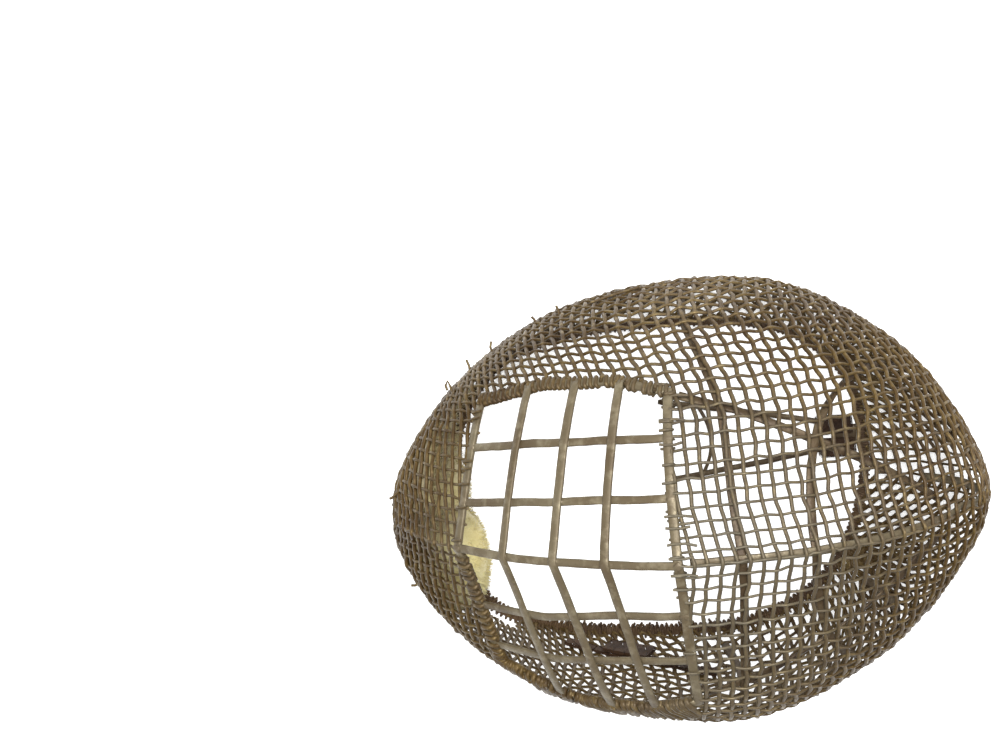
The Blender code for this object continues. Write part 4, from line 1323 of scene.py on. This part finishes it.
def makeFleece(s):
    outer, inner = fleeceGrid(s)
    body = bmesh.new()
    rows = s["down"] + 1
    backVerts = [body.verts.new(p) for p in outer]
    frontVerts = [body.verts.new(p) for p in inner]
    faces = []
    for i in range(s["across"]):
        for j in range(s["down"]):
            a = i * rows + j
            body.faces.new([backVerts[n] for n in (a, a + rows, a + rows + 1, a + 1)])
            faces.append(body.faces.new([frontVerts[n] for n in (a, a + 1, a + rows + 1, a + rows)]))
    edge = [i * rows for i in range(s["across"] + 1)]
    edge += [s["across"] * rows + j for j in range(1, rows)]
    edge += [i * rows + s["down"] for i in range(s["across"] - 1, -1, -1)]
    edge += list(range(s["down"] - 1, 0, -1))
    for a, b in neighbours(edge, True):
        faces.append(body.faces.new((backVerts[a], backVerts[b], frontVerts[b], frontVerts[a])))
    bmesh.ops.recalc_face_normals(body, faces=body.faces)
    spots = []
    for face in rng.choices(faces, [face.calc_area() for face in faces], k=s["locks"]):
        corners = [vert.co for vert in face.verts]
        a, b = rng.random(), rng.random()
        place = corners[0].lerp(corners[1], a).lerp(corners[3].lerp(corners[2], a), b)
        spots.append((place.copy(), face.normal.copy()))
    for place, normal in spots:
        swirl = Vector((turbulence(place * 120.0), turbulence(place * 150.0 + Vector((3, 1, 2))),
                        turbulence(place * 135.0)))
        lean = anyWay() * s["spread"] + swirl * s["swirl"] + Vector(s["hang"])
        addLock(body, place - normal * s["lockRoot"] * mm, (normal * 0.5 + lean).normalized(), s)
    piece = addPiece("chinFleece", finishBody(body, "chinFleece"), fleeceWool, ("chin_pad",))


makeFleece(fleeceSettings)
print("fleece made")

# floor, sky and two lamps: place, size in metres and power in watts
stageSettings = {"half": 3.0, "colour": (0.93, 0.935, 0.935), "rough": 0.9, "glow": 0.42,
                 "sky": (0.985, 0.992, 1.0), "skyGlow": 0.52, "aim": (0.02, 0, 0.05),
                 "lamps": {"keyLight": ((0.45, 0.60, 1.65), 0.8, 62.0), "fillLight": ((-1.3, -0.6, 1.2), 1.4, 9.0)}}


def makeFloor(s):
    plane = bmesh.new()
    bmesh.ops.create_grid(plane, x_segments=1, y_segments=1, size=s["half"])
    mesh = bpy.data.meshes.new("floor")
    plane.to_mesh(mesh)
    plane.free()
    floor = newObject("floor", mesh)
    material, tree, shader, _ = newMaterial("paleFloor")
    plugAll(tree, shader, {"Base Color": s["colour"], "Roughness": s["rough"], "Emission Color": s["colour"],
                           "Emission Strength": s["glow"]})
    mesh.materials.append(material)


def makeLights(s):
    world = bpy.data.worlds.new("softWorld")
    bpy.context.scene.world = world
    world.use_nodes = True
    sky = world.node_tree.nodes["Background"]
    sky.inputs["Color"].default_value = (*s["sky"], 1.0)
    sky.inputs["Strength"].default_value = s["skyGlow"]
    for name, (place, size, power) in s["lamps"].items():
        data = bpy.data.lights.new(name, "AREA")
        data.shape = "DISK"
        data.size = size
        data.energy = power
        light = newObject(name, data)
        light.location = place
        light.rotation_mode = "QUATERNION"
        light.rotation_quaternion = (Vector(s["aim"]) - Vector(place)).to_track_quat("-Z", "Y")
    bpy.context.scene.view_settings.view_transform = "Standard"


makeFloor(stageSettings)
makeLights(stageSettings)
print("stage and lights set")
